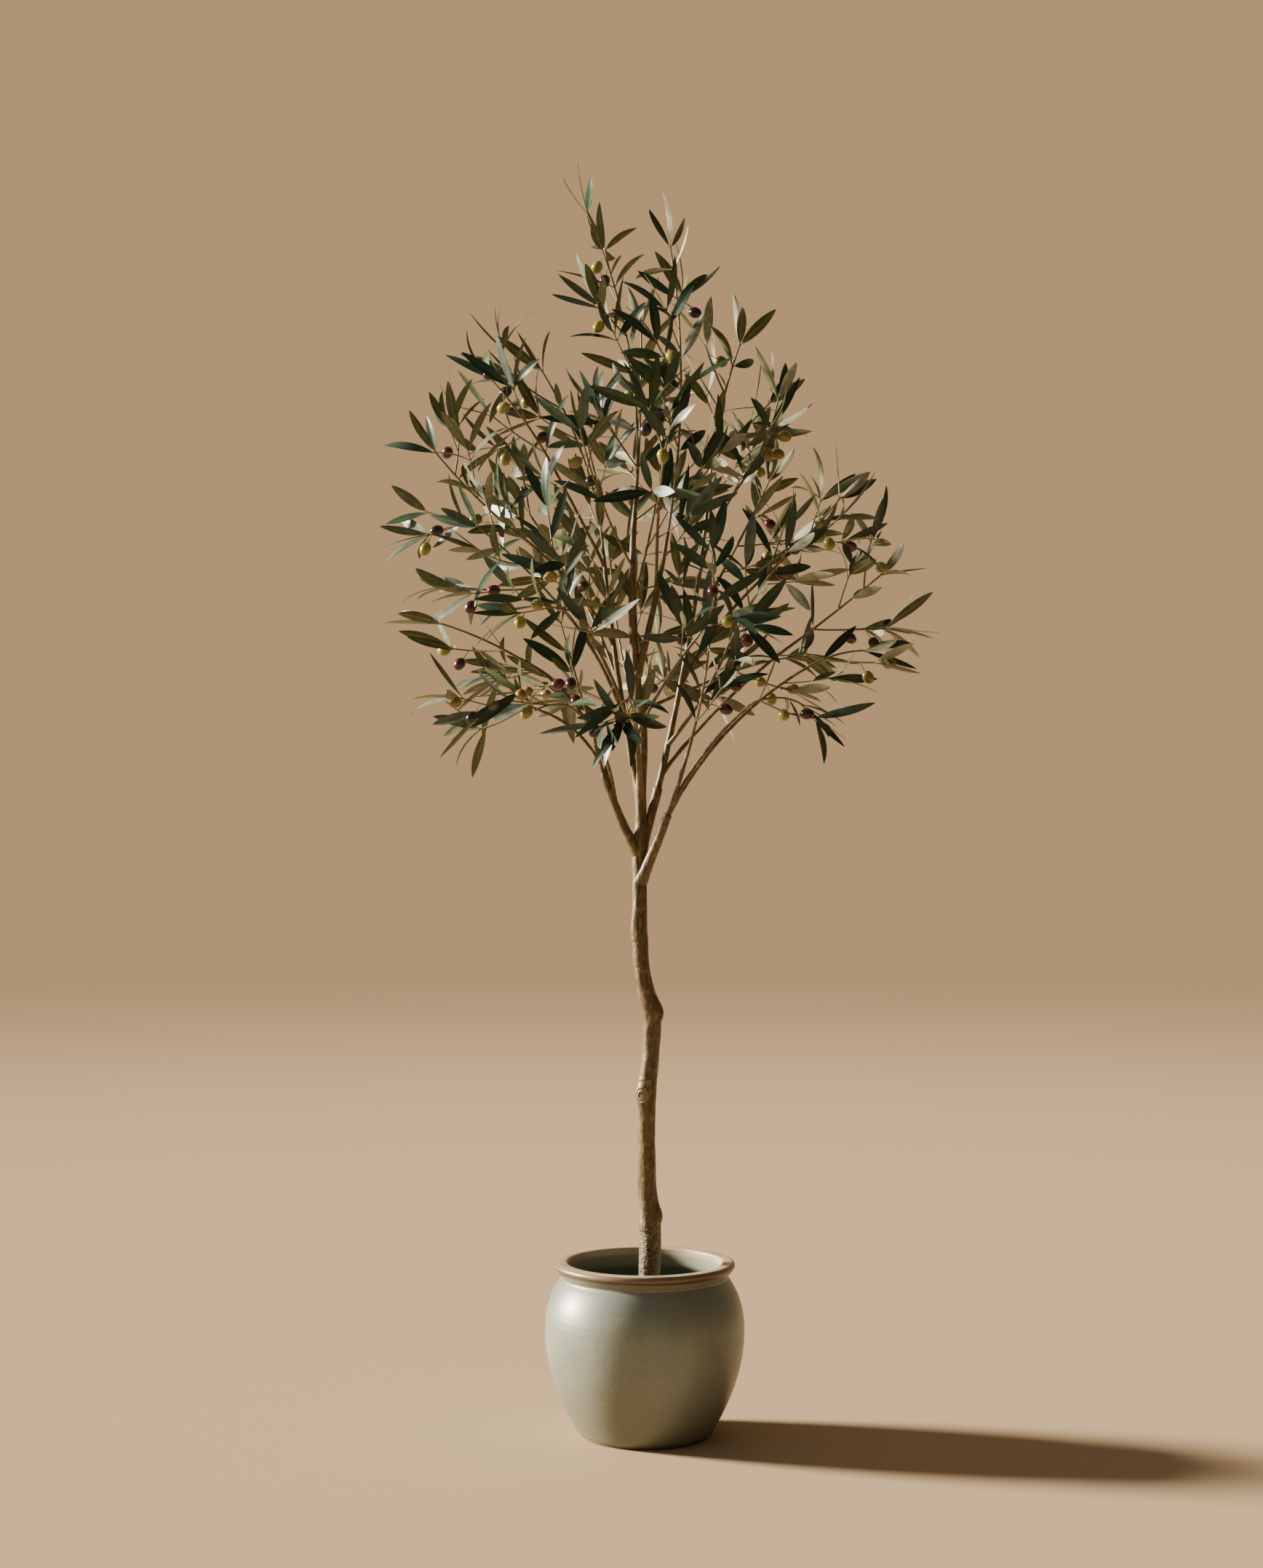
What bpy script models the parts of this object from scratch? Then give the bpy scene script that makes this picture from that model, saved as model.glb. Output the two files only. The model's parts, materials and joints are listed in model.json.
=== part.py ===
"""A potted olive tree, modelled as an assembly of separate solids.

A glazed stoneware pot holds soil, and a slim moulded trunk stands in the soil. The trunk
forks into boughs, the boughs carry thin branches, and each branch ends in one spray of
foliage: a stem with side twigs, leaves in opposite pairs and a few olives.

Units are metres. +X is the viewer's right, +Y is away from the viewer and +Z is up. The
origin is the centre of the pot's flat underside.
"""

import math
import random
from collections import namedtuple

import bmesh
import bpy
from mathutils import Matrix, Vector
from mathutils.bvhtree import BVHTree
from mathutils.geometry import interpolate_bezier
from mathutils.kdtree import KDTree

# ---------------------------------------------------------------- pot and soil
POT_HEIGHT = 0.248
FOOT_RADIUS = 0.092
FOOT_ROUNDING = 0.004
BELLY_RADIUS = 0.1425
BELLY_HEIGHT = 0.150
NECK_RADIUS = 0.1185
NECK_HEIGHT = 0.2265
LIP_RADIUS = 0.129
LIP_ROLL = 0.0056  # the radius of the lip's rounded rim
MOUTH_RADIUS = 0.110
WALL = 0.010
FLOOR_THICKNESS = 0.014
BELLY_SWELL = 0.9  # below the belly the wall is a sine arc of (height share) ** this
SHOULDER_FALL = 2.4  # above it the radius falls by (height share) ** this
POT_SEGMENTS = 32

GAP = 0.0003  # between pieces that meet face to face
SOIL_TOP = 0.186
SOIL_CROWN = 0.004  # the soil is this much higher round the trunk than at the wall
SOIL_CLEARANCE = 0.0006  # between the soil and the pot's wall
TRUNK_FOOT = SOIL_TOP + SOIL_CROWN + GAP

# ---------------------------------------------------------------- trunk
Bend = namedtuple("Bend", "height right radius")
TRUNK_BENDS = (
    Bend(TRUNK_FOOT, 0.0062, 0.0185),
    Bend(0.212, 0.0066, 0.0158),
    Bend(0.292, 0.0073, 0.0154),
    Bend(0.360, 0.0030, 0.0136),
    Bend(0.438, 0.0022, 0.0130),
    Bend(0.487, 0.0033, 0.0130),
    Bend(0.540, 0.0082, 0.0124),
    Bend(0.590, 0.0098, 0.0128),
    Bend(0.632, 0.0019, 0.0121),
    Bend(0.662, -0.0037, 0.0113),
    Bend(0.730, -0.0076, 0.0110),
    Bend(0.784, -0.0074, 0.0104),
    Bend(0.838, -0.0080, 0.0104),
    Bend(0.877, -0.0055, 0.0084),
    Bend(0.916, -0.0061, 0.0082),
    Bend(1.000, -0.0027, 0.0066),
    Bend(1.095, -0.0135, 0.0064),
    Bend(1.206, -0.0180, 0.0056),
    Bend(1.272, -0.0170, 0.0045),
    Bend(1.358, -0.0118, 0.0026),
)
# A knob is the healed stub of an old side shoot: where it is, how far it stands out, and
# its half length along the trunk.
Knob = namedtuple("Knob", "height heading bulge half_length")
TRUNK_KNOBS = (
    Knob(0.312, 0, 0.0048, 0.011),
    Knob(0.487, 212, 0.0048, 0.013),
    Knob(0.606, -10, 0.0068, 0.015),
    Knob(0.717, 180, 0.0026, 0.013),
)
KNOB_GRIP = 2.5  # how tightly a knob keeps to its own side of the trunk
TRUNK_SWAY = 0.005  # how far the trunk wanders to the front and back
TRUNK_SWAY_PITCH = 0.62  # the height over which it does so once
TRUNK_SIDES = 10
TRUNK_RING_PITCH = 0.048

# ---------------------------------------------------------------- boughs and branches
# A limb leaves its parent at a share of the parent's length (on the trunk, at a height)
# and runs in one arc to its tip. rise is its climb at the tip, in degrees from level.
Limb = namedtuple("Limb", "name parent leaves_at tip rise base_radius tip_radius")
BOUGHS = (
    Limb("bough_left", "trunk", 0.828, (-0.070, -0.022, 0.985), 76, 0.0064, 0.0034),
    Limb("bough_left_inner", "trunk", 0.902, (-0.060, 0.040, 1.270), 84, 0.0054, 0.0027),
    Limb("bough_right_front", "trunk", 0.788, (0.066, -0.056, 0.995), 72, 0.0070, 0.0032),
    Limb("bough_right_back", "trunk", 0.822, (0.096, 0.055, 1.380), 84, 0.0064, 0.0025),
    Limb("bough_right_inner", "trunk", 1.082, (0.033, -0.020, 1.290), 80, 0.0056, 0.0027),
    Limb("bough_front", "trunk", 0.905, (-0.016, -0.118, 1.030), 24, 0.0048, 0.0026),
    Limb("bough_back", "trunk", 0.940, (0.005, 0.135, 1.090), 32, 0.0048, 0.0026),
)
BRANCHES = (
    Limb("branch_low_left", "bough_left", 0.72, (-0.144, -0.035, 1.032), 18, 0.0027, 0.0021),
    Limb("branch_low_left_front", "bough_left", 0.46, (-0.095, -0.120, 1.030), 15, 0.0027, 0.0021),
    Limb("branch_left", "bough_left", 0.60, (-0.180, 0.010, 1.110), 25, 0.0028, 0.0021),
    Limb("branch_left_mid", "bough_left_inner", 0.30, (-0.128, -0.050, 1.190), 40, 0.0028, 0.0021),
    Limb("branch_far_left", "bough_left_inner", 0.62, (-0.185, 0.000, 1.290), 35, 0.0028, 0.0021),
    Limb("branch_upper_left", "bough_left_inner", 0.93, (-0.130, -0.020, 1.380), 55, 0.0026, 0.0021),
    Limb("branch_low_right", "bough_right_front", 0.50, (0.140, -0.075, 1.035), 40, 0.0030, 0.0021),
    Limb("branch_right_low", "bough_right_front", 0.36, (0.230, -0.015, 1.095), 30, 0.0030, 0.0021),
    Limb("branch_right_front", "bough_right_back", 0.30, (0.115, -0.085, 1.120), 55, 0.0029, 0.0021),
    Limb("branch_right_outer", "bough_right_back", 0.22, (0.225, 0.055, 1.140), 35, 0.0029, 0.0021),
    Limb("branch_right_high", "bough_right_back", 0.45, (0.190, 0.045, 1.245), 40, 0.0028, 0.0021),
    Limb("branch_right_upper", "bough_right_back", 0.72, (0.145, 0.000, 1.370), 45, 0.0026, 0.0021),
    Limb("branch_front_high", "bough_right_inner", 0.55, (0.018, -0.105, 1.300), 35, 0.0027, 0.0021),
    Limb("branch_front_left", "bough_front", 0.45, (-0.085, -0.130, 1.150), 45, 0.0026, 0.0021),
    Limb("branch_front_right", "bough_front", 0.66, (0.070, -0.150, 1.130), 40, 0.0026, 0.0021),
    Limb("branch_back_left_low", "bough_back", 0.45, (-0.110, 0.125, 1.075), 20, 0.0027, 0.0021),
    Limb("branch_back_right_low", "bough_back", 0.60, (0.115, 0.145, 1.090), 20, 0.0027, 0.0021),
    Limb("branch_back_left", "bough_left_inner", 0.45, (-0.115, 0.125, 1.245), 45, 0.0026, 0.0021),
    Limb("branch_back_right", "bough_right_back", 0.58, (0.130, 0.165, 1.270), 40, 0.0026, 0.0021),
)
BOUGH_SIDES = 8
BRANCH_SIDES = 5
BOUGH_RING_PITCH = 0.055
BRANCH_RING_PITCH = 0.040
COLLAR_SWELL = 0.35  # a limb is this much thicker where it leaves its parent
COLLAR_LENGTH = 0.012

# ---------------------------------------------------------------- foliage
# Each spray grows on from its limb's tip, or from the trunk at a height, and its stem ends
# at tip. spread is how long its side twigs are, and olives how many it carries.
Spray = namedtuple("Spray", "name limb leaves_at tip spread olives")
SPRAYS = (
    Spray("foliage_top_left", "trunk", 1.0, (-0.0825, -0.020, 1.744), 0.085, 1),
    Spray("foliage_top_right", "bough_right_inner", 1.0, (0.036, 0.000, 1.700), 0.091, 1),
    Spray("foliage_top_middle", "trunk", 0.94, (-0.005, 0.080, 1.600), 0.098, 2),
    Spray("foliage_upper_left", "branch_upper_left", 1.0, (-0.222, -0.030, 1.508), 0.098, 1),
    Spray("foliage_upper_left_inner", "bough_left_inner", 1.0, (-0.150, 0.050, 1.530), 0.104, 1),
    Spray("foliage_far_left", "branch_far_left", 1.0, (-0.300, -0.010, 1.405), 0.104, 1),
    Spray("foliage_left_mid", "branch_left_mid", 1.0, (-0.235, -0.090, 1.290), 0.104, 2),
    Spray("foliage_left_outer", "branch_left", 1.0, (-0.292, 0.010, 1.160), 0.104, 1),
    Spray("foliage_left_inner", "bough_left", 1.0, (-0.120, -0.030, 1.160), 0.098, 1),
    Spray("foliage_low_left", "branch_low_left", 1.0, (-0.235, -0.040, 1.030), 0.091, 1),
    Spray("foliage_low_left_front", "branch_low_left_front", 1.0, (-0.150, -0.190, 1.030), 0.085, 1),
    Spray("foliage_upper_right", "bough_right_back", 1.0, (0.139, 0.060, 1.570), 0.098, 1),
    Spray("foliage_right_upper", "branch_right_upper", 1.0, (0.190, -0.030, 1.480), 0.085, 1),
    Spray("foliage_right_high", "branch_right_high", 1.0, (0.284, 0.040, 1.345), 0.098, 1),
    Spray("foliage_right_outer", "branch_right_outer", 1.0, (0.345, 0.045, 1.235), 0.098, 1),
    Spray("foliage_right_low", "branch_right_low", 1.0, (0.315, -0.020, 1.120), 0.085, 1),
    Spray("foliage_low_right", "branch_low_right", 1.0, (0.220, -0.095, 1.040), 0.085, 1),
    Spray("foliage_right_inner", "bough_right_front", 1.0, (0.092, -0.078, 1.160), 0.080, 1),
    Spray("foliage_right_front", "branch_right_front", 1.0, (0.195, -0.150, 1.250), 0.098, 2),
    Spray("foliage_front_low", "bough_front", 1.0, (-0.035, -0.215, 1.035), 0.091, 2),
    Spray("foliage_front_left", "branch_front_left", 1.0, (-0.130, -0.205, 1.260), 0.098, 1),
    Spray("foliage_front_right", "branch_front_right", 1.0, (0.090, -0.240, 1.210), 0.098, 1),
    Spray("foliage_front_high", "branch_front_high", 1.0, (0.030, -0.210, 1.400), 0.104, 1),
    Spray("foliage_front_upper_left", "trunk", 0.90, (-0.090, -0.130, 1.420), 0.098, 1),
    Spray("foliage_back_low", "bough_back", 1.0, (0.010, 0.240, 1.110), 0.091, 1),
    Spray("foliage_back_left_low", "branch_back_left_low", 1.0, (-0.210, 0.190, 1.110), 0.098, 1),
    Spray("foliage_back_right_low", "branch_back_right_low", 1.0, (0.215, 0.200, 1.120), 0.098, 1),
    Spray("foliage_back_left", "branch_back_left", 1.0, (-0.190, 0.190, 1.360), 0.104, 1),
    Spray("foliage_back_right", "branch_back_right", 1.0, (0.190, 0.225, 1.390), 0.104, 1),
    Spray("foliage_back_high", "trunk", 0.86, (0.030, 0.190, 1.440), 0.098, 1),
    Spray("foliage_heart", "trunk", 0.70, (-0.050, 0.110, 1.260), 0.098, 1),
)
STEM_RADIUS = (0.0020, 0.0013)  # at the base and at the tip
TWIG_RADIUS = (0.0014, 0.0012)
STEM_PITCH = 0.047  # between the pairs on a stem
BOW_PITCH = 0.070  # between the bends of a stem or twig
TWIG_PITCH = 0.040
FIRST_PAIR = 0.024  # from the foot of a stem to its first pair
PAIR_TURN = 113  # each pair is turned this far round the twig from the last
PAIRS_PER_FORK = 2  # a side twig takes the place of a leaf at every second pair
LAST_FORK = 0.84  # no side twig leaves a stem beyond this share of it
TWIG_ANGLE = math.radians(48)
LEAF_ANGLE = math.radians(50)
TURNS_ASIDE = (0, 35, -35)  # the ways a leaf or a side twig may turn, tried in order
TIP_LEAVES = 3
TIP_SINK = 0.004  # how far below a twig's tip its last leaves are rooted
LEAF_LENGTH = 0.078
LEAF_WIDTH = 0.0165
LEAF_THICKNESS = 0.0011
LEAF_NECK = 0.0007  # the thickness of a leaf where it is sunk in its twig
LEAF_BELLY = 0.42  # where along a leaf it is widest
OLIVE_RADIUS = 0.0084
OLIVE_STRETCH = 1.18
OLIVE_STALK = 0.018
TERRITORY_MARGIN = 0.0015
TERRITORY_PITCH = 0.006
TERRITORY_NEIGHBOURS = 14

# ---------------------------------------------------------------- finishes
Finish = namedtuple("Finish", "colour roughness")
GLAZE = Finish((0.36, 0.36, 0.27), 0.30)
SOIL = Finish((0.045, 0.032, 0.022), 0.95)
BARK = Finish((0.24, 0.175, 0.105), 0.75)
FOLIAGE = Finish((0.055, 0.085, 0.050), 0.50)


# ================================================================ scene helpers
def clear_scene():
    for obj in list(bpy.data.objects):
        bpy.data.objects.remove(obj)


def material(name, finish):
    made = bpy.data.materials.new(name)
    made.use_nodes = True
    shader = made.node_tree.nodes["Principled BSDF"]
    shader.inputs["Base Color"].default_value = (*finish.colour, 1.0)
    shader.inputs["Roughness"].default_value = finish.roughness
    shader.inputs["Metallic"].default_value = 0.0
    made.diffuse_color = (*finish.colour, 1.0)
    return made


def object_from(name, bm, finish_material=None):
    mesh = bpy.data.meshes.new(name)
    bm.to_mesh(mesh)
    bm.free()
    obj = bpy.data.objects.new(name, mesh)
    bpy.context.scene.collection.objects.link(obj)
    if finish_material:
        mesh.materials.append(finish_material)
    return obj


def shade(obj, sharp_angle=math.radians(40)):
    obj.data.shade_smooth()
    obj.data.set_sharp_from_angle(angle=sharp_angle)


def apply_boolean(obj, operation, operand):
    """Applies one MANIFOLD Boolean of a cutter object, or of a whole collection, to obj."""
    modifier = obj.modifiers.new("Boolean", "BOOLEAN")
    modifier.operation = operation
    modifier.solver = "MANIFOLD"
    if isinstance(operand, bpy.types.Collection):
        modifier.operand_type = "COLLECTION"
        modifier.collection = operand
    else:
        modifier.object = operand
    graph = bpy.context.evaluated_depsgraph_get()
    made = bpy.data.meshes.new_from_object(obj.evaluated_get(graph))
    obj.modifiers.remove(modifier)
    worn = obj.data
    obj.data = made
    bpy.data.meshes.remove(worn)


def volume_of(faces):
    return sum(
        corners[0].co.dot(corners[i].co.cross(corners[i + 1].co))
        for corners in (face.verts for face in faces)
        for i in range(1, len(corners) - 1)
    )


def keep_largest_body(obj):
    """Drops loose scraps, and the inner skin of any hollow that fusing has sealed."""
    bm = bmesh.new()
    bm.from_mesh(obj.data)
    bm.faces.ensure_lookup_table()
    unseen = set(bm.faces)
    bodies = []
    while unseen:
        front = [unseen.pop()]
        body = list(front)
        while front:
            face = front.pop()
            for edge in face.edges:
                for neighbour in edge.link_faces:
                    if neighbour in unseen:
                        unseen.remove(neighbour)
                        front.append(neighbour)
                        body.append(neighbour)
        bodies.append(body)
    bodies.sort(key=volume_of, reverse=True)
    scraps = [face for body in bodies[1:] for face in body]
    bmesh.ops.delete(bm, geom=scraps, context="FACES")
    bm.to_mesh(obj.data)
    bm.free()


# ================================================================ shape helpers
def lathe(profile, segments):
    """A closed solid turned round Z from (radius, height) points, which start and end on
    the axis."""
    bm = bmesh.new()
    verts = [bm.verts.new((radius, 0.0, height)) for radius, height in profile]
    edges = [bm.edges.new(pair) for pair in zip(verts, verts[1:])]
    bmesh.ops.spin(
        bm,
        geom=verts + edges,
        cent=(0, 0, 0),
        axis=(0, 0, 1),
        angle=math.tau,
        steps=segments,
        use_merge=True,
    )
    bmesh.ops.remove_doubles(bm, verts=bm.verts, dist=1e-6)
    bmesh.ops.recalc_face_normals(bm, faces=bm.faces)
    return bm


def arc(centre, radius, start_degrees, end_degrees, steps):
    """Points of a circular arc in the (radius, height) plane."""
    points = []
    for i in range(steps + 1):
        angle = math.radians(start_degrees + (end_degrees - start_degrees) * i / steps)
        points.append((centre[0] + radius * math.cos(angle), centre[1] + radius * math.sin(angle)))
    return points


def ring_frames(route, leaving=None):
    """At each point of a route, two unit vectors across it that don't twist along it."""
    frames = []
    across = None
    for i, point in enumerate(route):
        ahead = route[min(i + 1, len(route) - 1)] - route[max(i - 1, 0)]
        ahead.normalize()
        if i == 0 and leaving:
            ahead = leaving
        if across is None:
            across = ahead.orthogonal().normalized()
        else:
            across = (across - ahead * across.dot(ahead)).normalized()
        frames.append((across, ahead.cross(across)))
    return frames


def tube(route, radii, sides, leaving=None):
    """A closed tube along a route, with a radius for each of its points. Its foot faces
    straight back along the route, or along leaving."""
    bm = bmesh.new()
    rings = []
    for point, radius, (across, side) in zip(route, radii, ring_frames(route, leaving)):
        ring = []
        for i in range(sides):
            angle = math.tau * i / sides
            offset = (across * math.cos(angle) + side * math.sin(angle)) * radius
            ring.append(bm.verts.new(point + offset))
        rings.append(ring)
    for low, high in zip(rings, rings[1:]):
        for i in range(sides):
            j = (i + 1) % sides
            bm.faces.new((low[i], low[j], high[j], high[i]))
    bm.faces.new(list(reversed(rings[0])))
    bm.faces.new(rings[-1])
    return bm


def smooth_between(bends, height, field):
    """A bend's field at any height, on a Catmull-Rom curve through the bends."""
    last = len(bends) - 1
    index = max(i for i in range(last) if bends[i].height <= height or i == 0)
    low, high = bends[index], bends[index + 1]
    before, after = bends[max(index - 1, 0)], bends[min(index + 2, last)]
    span = high.height - low.height
    t = (height - low.height) / span

    def value(bend):
        return getattr(bend, field)

    low_slope = (value(high) - value(before)) / (high.height - before.height) * span
    high_slope = (value(after) - value(low)) / (after.height - low.height) * span
    return (
        (2 * t**3 - 3 * t**2 + 1) * value(low)
        + (t**3 - 2 * t**2 + t) * low_slope
        + (3 * t**2 - 2 * t**3) * value(high)
        + (t**3 - t**2) * high_slope
    )


# ================================================================ routes
class Route:
    """A curve with a radius at each point, which limbs, stems and twigs follow."""

    def __init__(self, points, radii, leaving=None):
        self.points = points
        self.radii = radii
        self.leaving = leaving
        self.marks = [0.0]
        for start, end in zip(points, points[1:]):
            self.marks.append(self.marks[-1] + (end - start).length)
        self.length = self.marks[-1]

    def at(self, share):
        """The point, direction and radius at a share of the length."""
        goal = min(max(share, 0.0), 1.0) * self.length
        i = max(k for k in range(len(self.marks) - 1) if self.marks[k] <= goal)
        t = (goal - self.marks[i]) / (self.marks[i + 1] - self.marks[i])
        start, end = self.points[i], self.points[i + 1]
        radius = self.radii[i] + (self.radii[i + 1] - self.radii[i]) * t
        return start.lerp(end, t), (end - start).normalized(), radius

    def solid(self, fatter_by=0.0, first_point=0, sides=3):
        """The tube along the route, or along the part of it from first_point on."""
        radii = [radius + fatter_by for radius in self.radii]
        leaving = None if first_point else self.leaving
        return tube(self.points[first_point:], radii[first_point:], sides, leaving)

    def longer_by(self, extra):
        """The same route, reaching further past its tip by extra and fatter by it."""
        points = list(self.points)
        points[-1] = points[-1] + (points[-1] - points[-2]).normalized() * extra
        return Route(points, [radius + extra for radius in self.radii])


def heading_and_rise(heading, rise):
    """The unit vector at a compass heading and a climb, both in radians."""
    flat = Vector((math.cos(heading), math.sin(heading), 0.0))
    return flat * math.cos(rise) + Vector((0, 0, math.sin(rise)))


def bow(start, start_direction, end, end_direction, pitch):
    """Points about pitch apart on a smooth curve that leaves and arrives in given directions."""
    reach = (end - start).length
    steps = max(3, round(reach / pitch) + 1)
    pull = reach / 3
    return interpolate_bezier(
        start, start + start_direction * pull, end - end_direction * pull, end, steps
    )


def limb_route(limb, parent, pitch):
    """A limb's arc: it leaves its parent as far below its chord's slope as it ends above it."""
    start, _, _ = parent.at(limb.leaves_at)
    end = Vector(limb.tip)
    chord = end - start
    heading = math.atan2(chord.y, chord.x)
    slope = math.atan2(chord.z, math.hypot(chord.x, chord.y))
    rise = math.radians(limb.rise)
    points = bow(
        start,
        heading_and_rise(heading, 2 * slope - rise),
        end,
        heading_and_rise(heading, rise),
        pitch,
    )
    _, _, parent_radius = parent.at(limb.leaves_at)
    bare = Route(points, [0.0] * len(points))
    radii = []
    for mark in bare.marks:
        share = mark / bare.length
        taper = limb.base_radius + (limb.tip_radius - limb.base_radius) * share
        past_parent = max(mark - parent_radius, 0.0)
        radii.append(taper * (1 + COLLAR_SWELL * math.exp(-past_parent / COLLAR_LENGTH)))
    most = 0.9 * parent_radius
    radii[0] = min(radii[0], most)
    return Route(points, radii)


def stem_route(spray, limb):
    """A spray's stem, which carries its limb's tip on in one even arc to the spray's tip."""
    start, onward, _ = limb.at(spray.leaves_at)
    end = Vector(spray.tip)
    chord = (end - start).normalized()
    if spray.leaves_at < 1.0:
        outward = Vector((chord.x, chord.y, 0.0)).normalized()
        onward = (chord + outward * 0.4).normalized()
    else:
        start = start + onward * GAP
    arriving = chord * (2 * onward.dot(chord)) - onward
    points = bow(start, onward, end, arriving, BOW_PITCH)
    count = len(points) - 1
    low, high = STEM_RADIUS
    return Route(points, [low + (high - low) * i / count for i in range(count + 1)], onward)


# ================================================================ pot and soil
def pot_wall_radius(height):
    """The outer radius of the pot's body, between its foot and its neck."""
    if height <= BELLY_HEIGHT:
        share = height / BELLY_HEIGHT
        swell = math.sin(math.pi / 2 * share**BELLY_SWELL)
        return FOOT_RADIUS + (BELLY_RADIUS - FOOT_RADIUS) * swell
    share = (height - BELLY_HEIGHT) / (NECK_HEIGHT - BELLY_HEIGHT)
    return BELLY_RADIUS - (BELLY_RADIUS - NECK_RADIUS) * share**SHOULDER_FALL


def heights_between(low, high, steps):
    return [low + (high - low) * i / steps for i in range(steps + 1)]


def inside_wall():
    """The inner wall from the floor up to the soil's level and on to the neck."""
    heights = heights_between(FLOOR_THICKNESS, SOIL_TOP, 3) + [NECK_HEIGHT - 0.010]
    return [(pot_wall_radius(height) - WALL, height) for height in heights]


def pot_profile():
    """The pot's section: up the outside, over the rolled lip, and down the inside."""
    profile = [(0.0, 0.0), (FOOT_RADIUS - FOOT_ROUNDING, 0.0)]
    outside = heights_between(FOOT_ROUNDING, NECK_HEIGHT, 8)
    profile += [(pot_wall_radius(height), height) for height in outside]
    lip_centre = (LIP_RADIUS - LIP_ROLL, POT_HEIGHT - LIP_ROLL)
    profile += arc(lip_centre, LIP_ROLL, -50, 90, 4)
    inner_roll = LIP_ROLL * 0.6
    inner_centre = (MOUTH_RADIUS + inner_roll, POT_HEIGHT - inner_roll)
    profile += arc(inner_centre, inner_roll, 100, 180, 2)
    profile.append((MOUTH_RADIUS + 0.0005, NECK_HEIGHT - 0.002))
    profile += reversed(inside_wall())
    profile.append((0.0, FLOOR_THICKNESS))
    return profile


def build_pot(finish):
    pot = object_from("pot", lathe(pot_profile(), POT_SEGMENTS), finish)
    shade(pot)


def build_soil(finish):
    """The soil fills the pot to below the lip, just clear of the wall and the floor."""
    floor = FLOOR_THICKNESS + GAP
    wall = [(radius - SOIL_CLEARANCE, max(height, floor)) for radius, height in inside_wall()]
    profile = [(0.0, floor), *wall[:-1]]
    shoulder = profile[-1][0]
    profile.append((shoulder * 0.25, SOIL_TOP + SOIL_CROWN))
    profile.append((0.0, SOIL_TOP + SOIL_CROWN))
    soil = object_from("soil", lathe(profile, POT_SEGMENTS), finish)
    shade(soil)


# ================================================================ trunk
def trunk_axis(height):
    sway = TRUNK_SWAY * math.sin(math.tau * (height - TRUNK_FOOT) / TRUNK_SWAY_PITCH)
    return Vector((smooth_between(TRUNK_BENDS, height, "right"), sway, height))


def trunk_route():
    foot, top = TRUNK_BENDS[0].height, TRUNK_BENDS[-1].height
    steps = round((top - foot) / TRUNK_RING_PITCH)
    heights = set(heights_between(foot, top, steps))
    for knob in TRUNK_KNOBS:
        near = [h for h in heights if abs(h - knob.height) < knob.half_length * 1.5]
        heights -= set(near)
        heights |= {knob.height + knob.half_length * k for k in (-1.2, -0.4, 0.4, 1.2)}
    heights = sorted(heights)
    points = [trunk_axis(h) for h in heights]
    radii = [smooth_between(TRUNK_BENDS, h, "radius") for h in heights]
    return Route(points, radii)


def swell_knobs(bm, route):
    """Pushes the trunk's skin out where an old side shoot has healed over."""
    for vert in bm.verts:
        outward = (vert.co - trunk_axis(vert.co.z)).normalized()
        for knob in TRUNK_KNOBS:
            facing = outward.dot(heading_and_rise(math.radians(knob.heading), 0.0))
            along = (vert.co.z - knob.height) / knob.half_length
            swell = knob.bulge * math.exp(-(along**2)) * math.exp(KNOB_GRIP * (facing - 1))
            vert.co += Vector((outward.x, outward.y, 0.0)) * swell


def build_trunk(route, finish):
    bm = tube(route.points, route.radii, TRUNK_SIDES)
    swell_knobs(bm, route)
    foot = route.points[0].z
    for vert in bm.verts:
        if vert.co.z < foot + TRUNK_RING_PITCH / 4:
            vert.co.z = foot
    trunk = object_from("trunk", bm, finish)
    shade(trunk)
    return trunk


def trunk_share(route, height):
    """The share of the trunk's length at which it reaches a height."""
    heights = [point.z for point in route.points]
    i = max(k for k in range(len(heights) - 1) if heights[k] <= height)
    t = (height - heights[i]) / (heights[i + 1] - heights[i])
    return (route.marks[i] + (route.marks[i + 1] - route.marks[i]) * t) / route.length


# ================================================================ limbs
def cutter_for(name, route, sides):
    """A copy of a limb, fatter and longer by GAP, that trims what meets it."""
    fat = route.longer_by(GAP)
    cutter = object_from(name + "_cutter", tube(fat.points, fat.radii, sides))
    cutter.hide_render = True
    cutter.display_type = "WIRE"
    return cutter


def build_limb(limb, route, sides, cutters, finish):
    obj = object_from(limb.name, tube(route.points, route.radii, sides), finish)
    for cutter in cutters:
        apply_boolean(obj, "DIFFERENCE", cutter)
    keep_largest_body(obj)
    shade(obj)
    return obj


def build_limbs(routes, finish):
    """Builds each bough and branch, trimmed clear of its parent and its elder siblings."""
    cutters = {"trunk": cutter_for("trunk", routes["trunk"], TRUNK_SIDES)}
    bodies = []
    for rank, sides, pitch in (
        (BOUGHS, BOUGH_SIDES, BOUGH_RING_PITCH),
        (BRANCHES, BRANCH_SIDES, BRANCH_RING_PITCH),
    ):
        for limb in rank:
            parent = routes[limb.parent]
            if limb.parent == "trunk":
                limb = limb._replace(leaves_at=trunk_share(parent, limb.leaves_at))
            routes[limb.name] = limb_route(limb, parent, pitch)
            elders = [other for other in rank if other.name in cutters]
            trims = [cutters[elder.name] for elder in elders if elder.parent == limb.parent]
            trims.append(cutters[limb.parent])
            bodies.append(build_limb(limb, routes[limb.name], sides, trims, finish))
            cutters[limb.name] = cutter_for(limb.name, routes[limb.name], sides)
    return bodies, cutters


# ================================================================ foliage rule
Leaf = namedtuple("Leaf", "base along face length width")
Twig = namedtuple("Twig", "key route")
Olive = namedtuple("Olive", "base centre axis")


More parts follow.
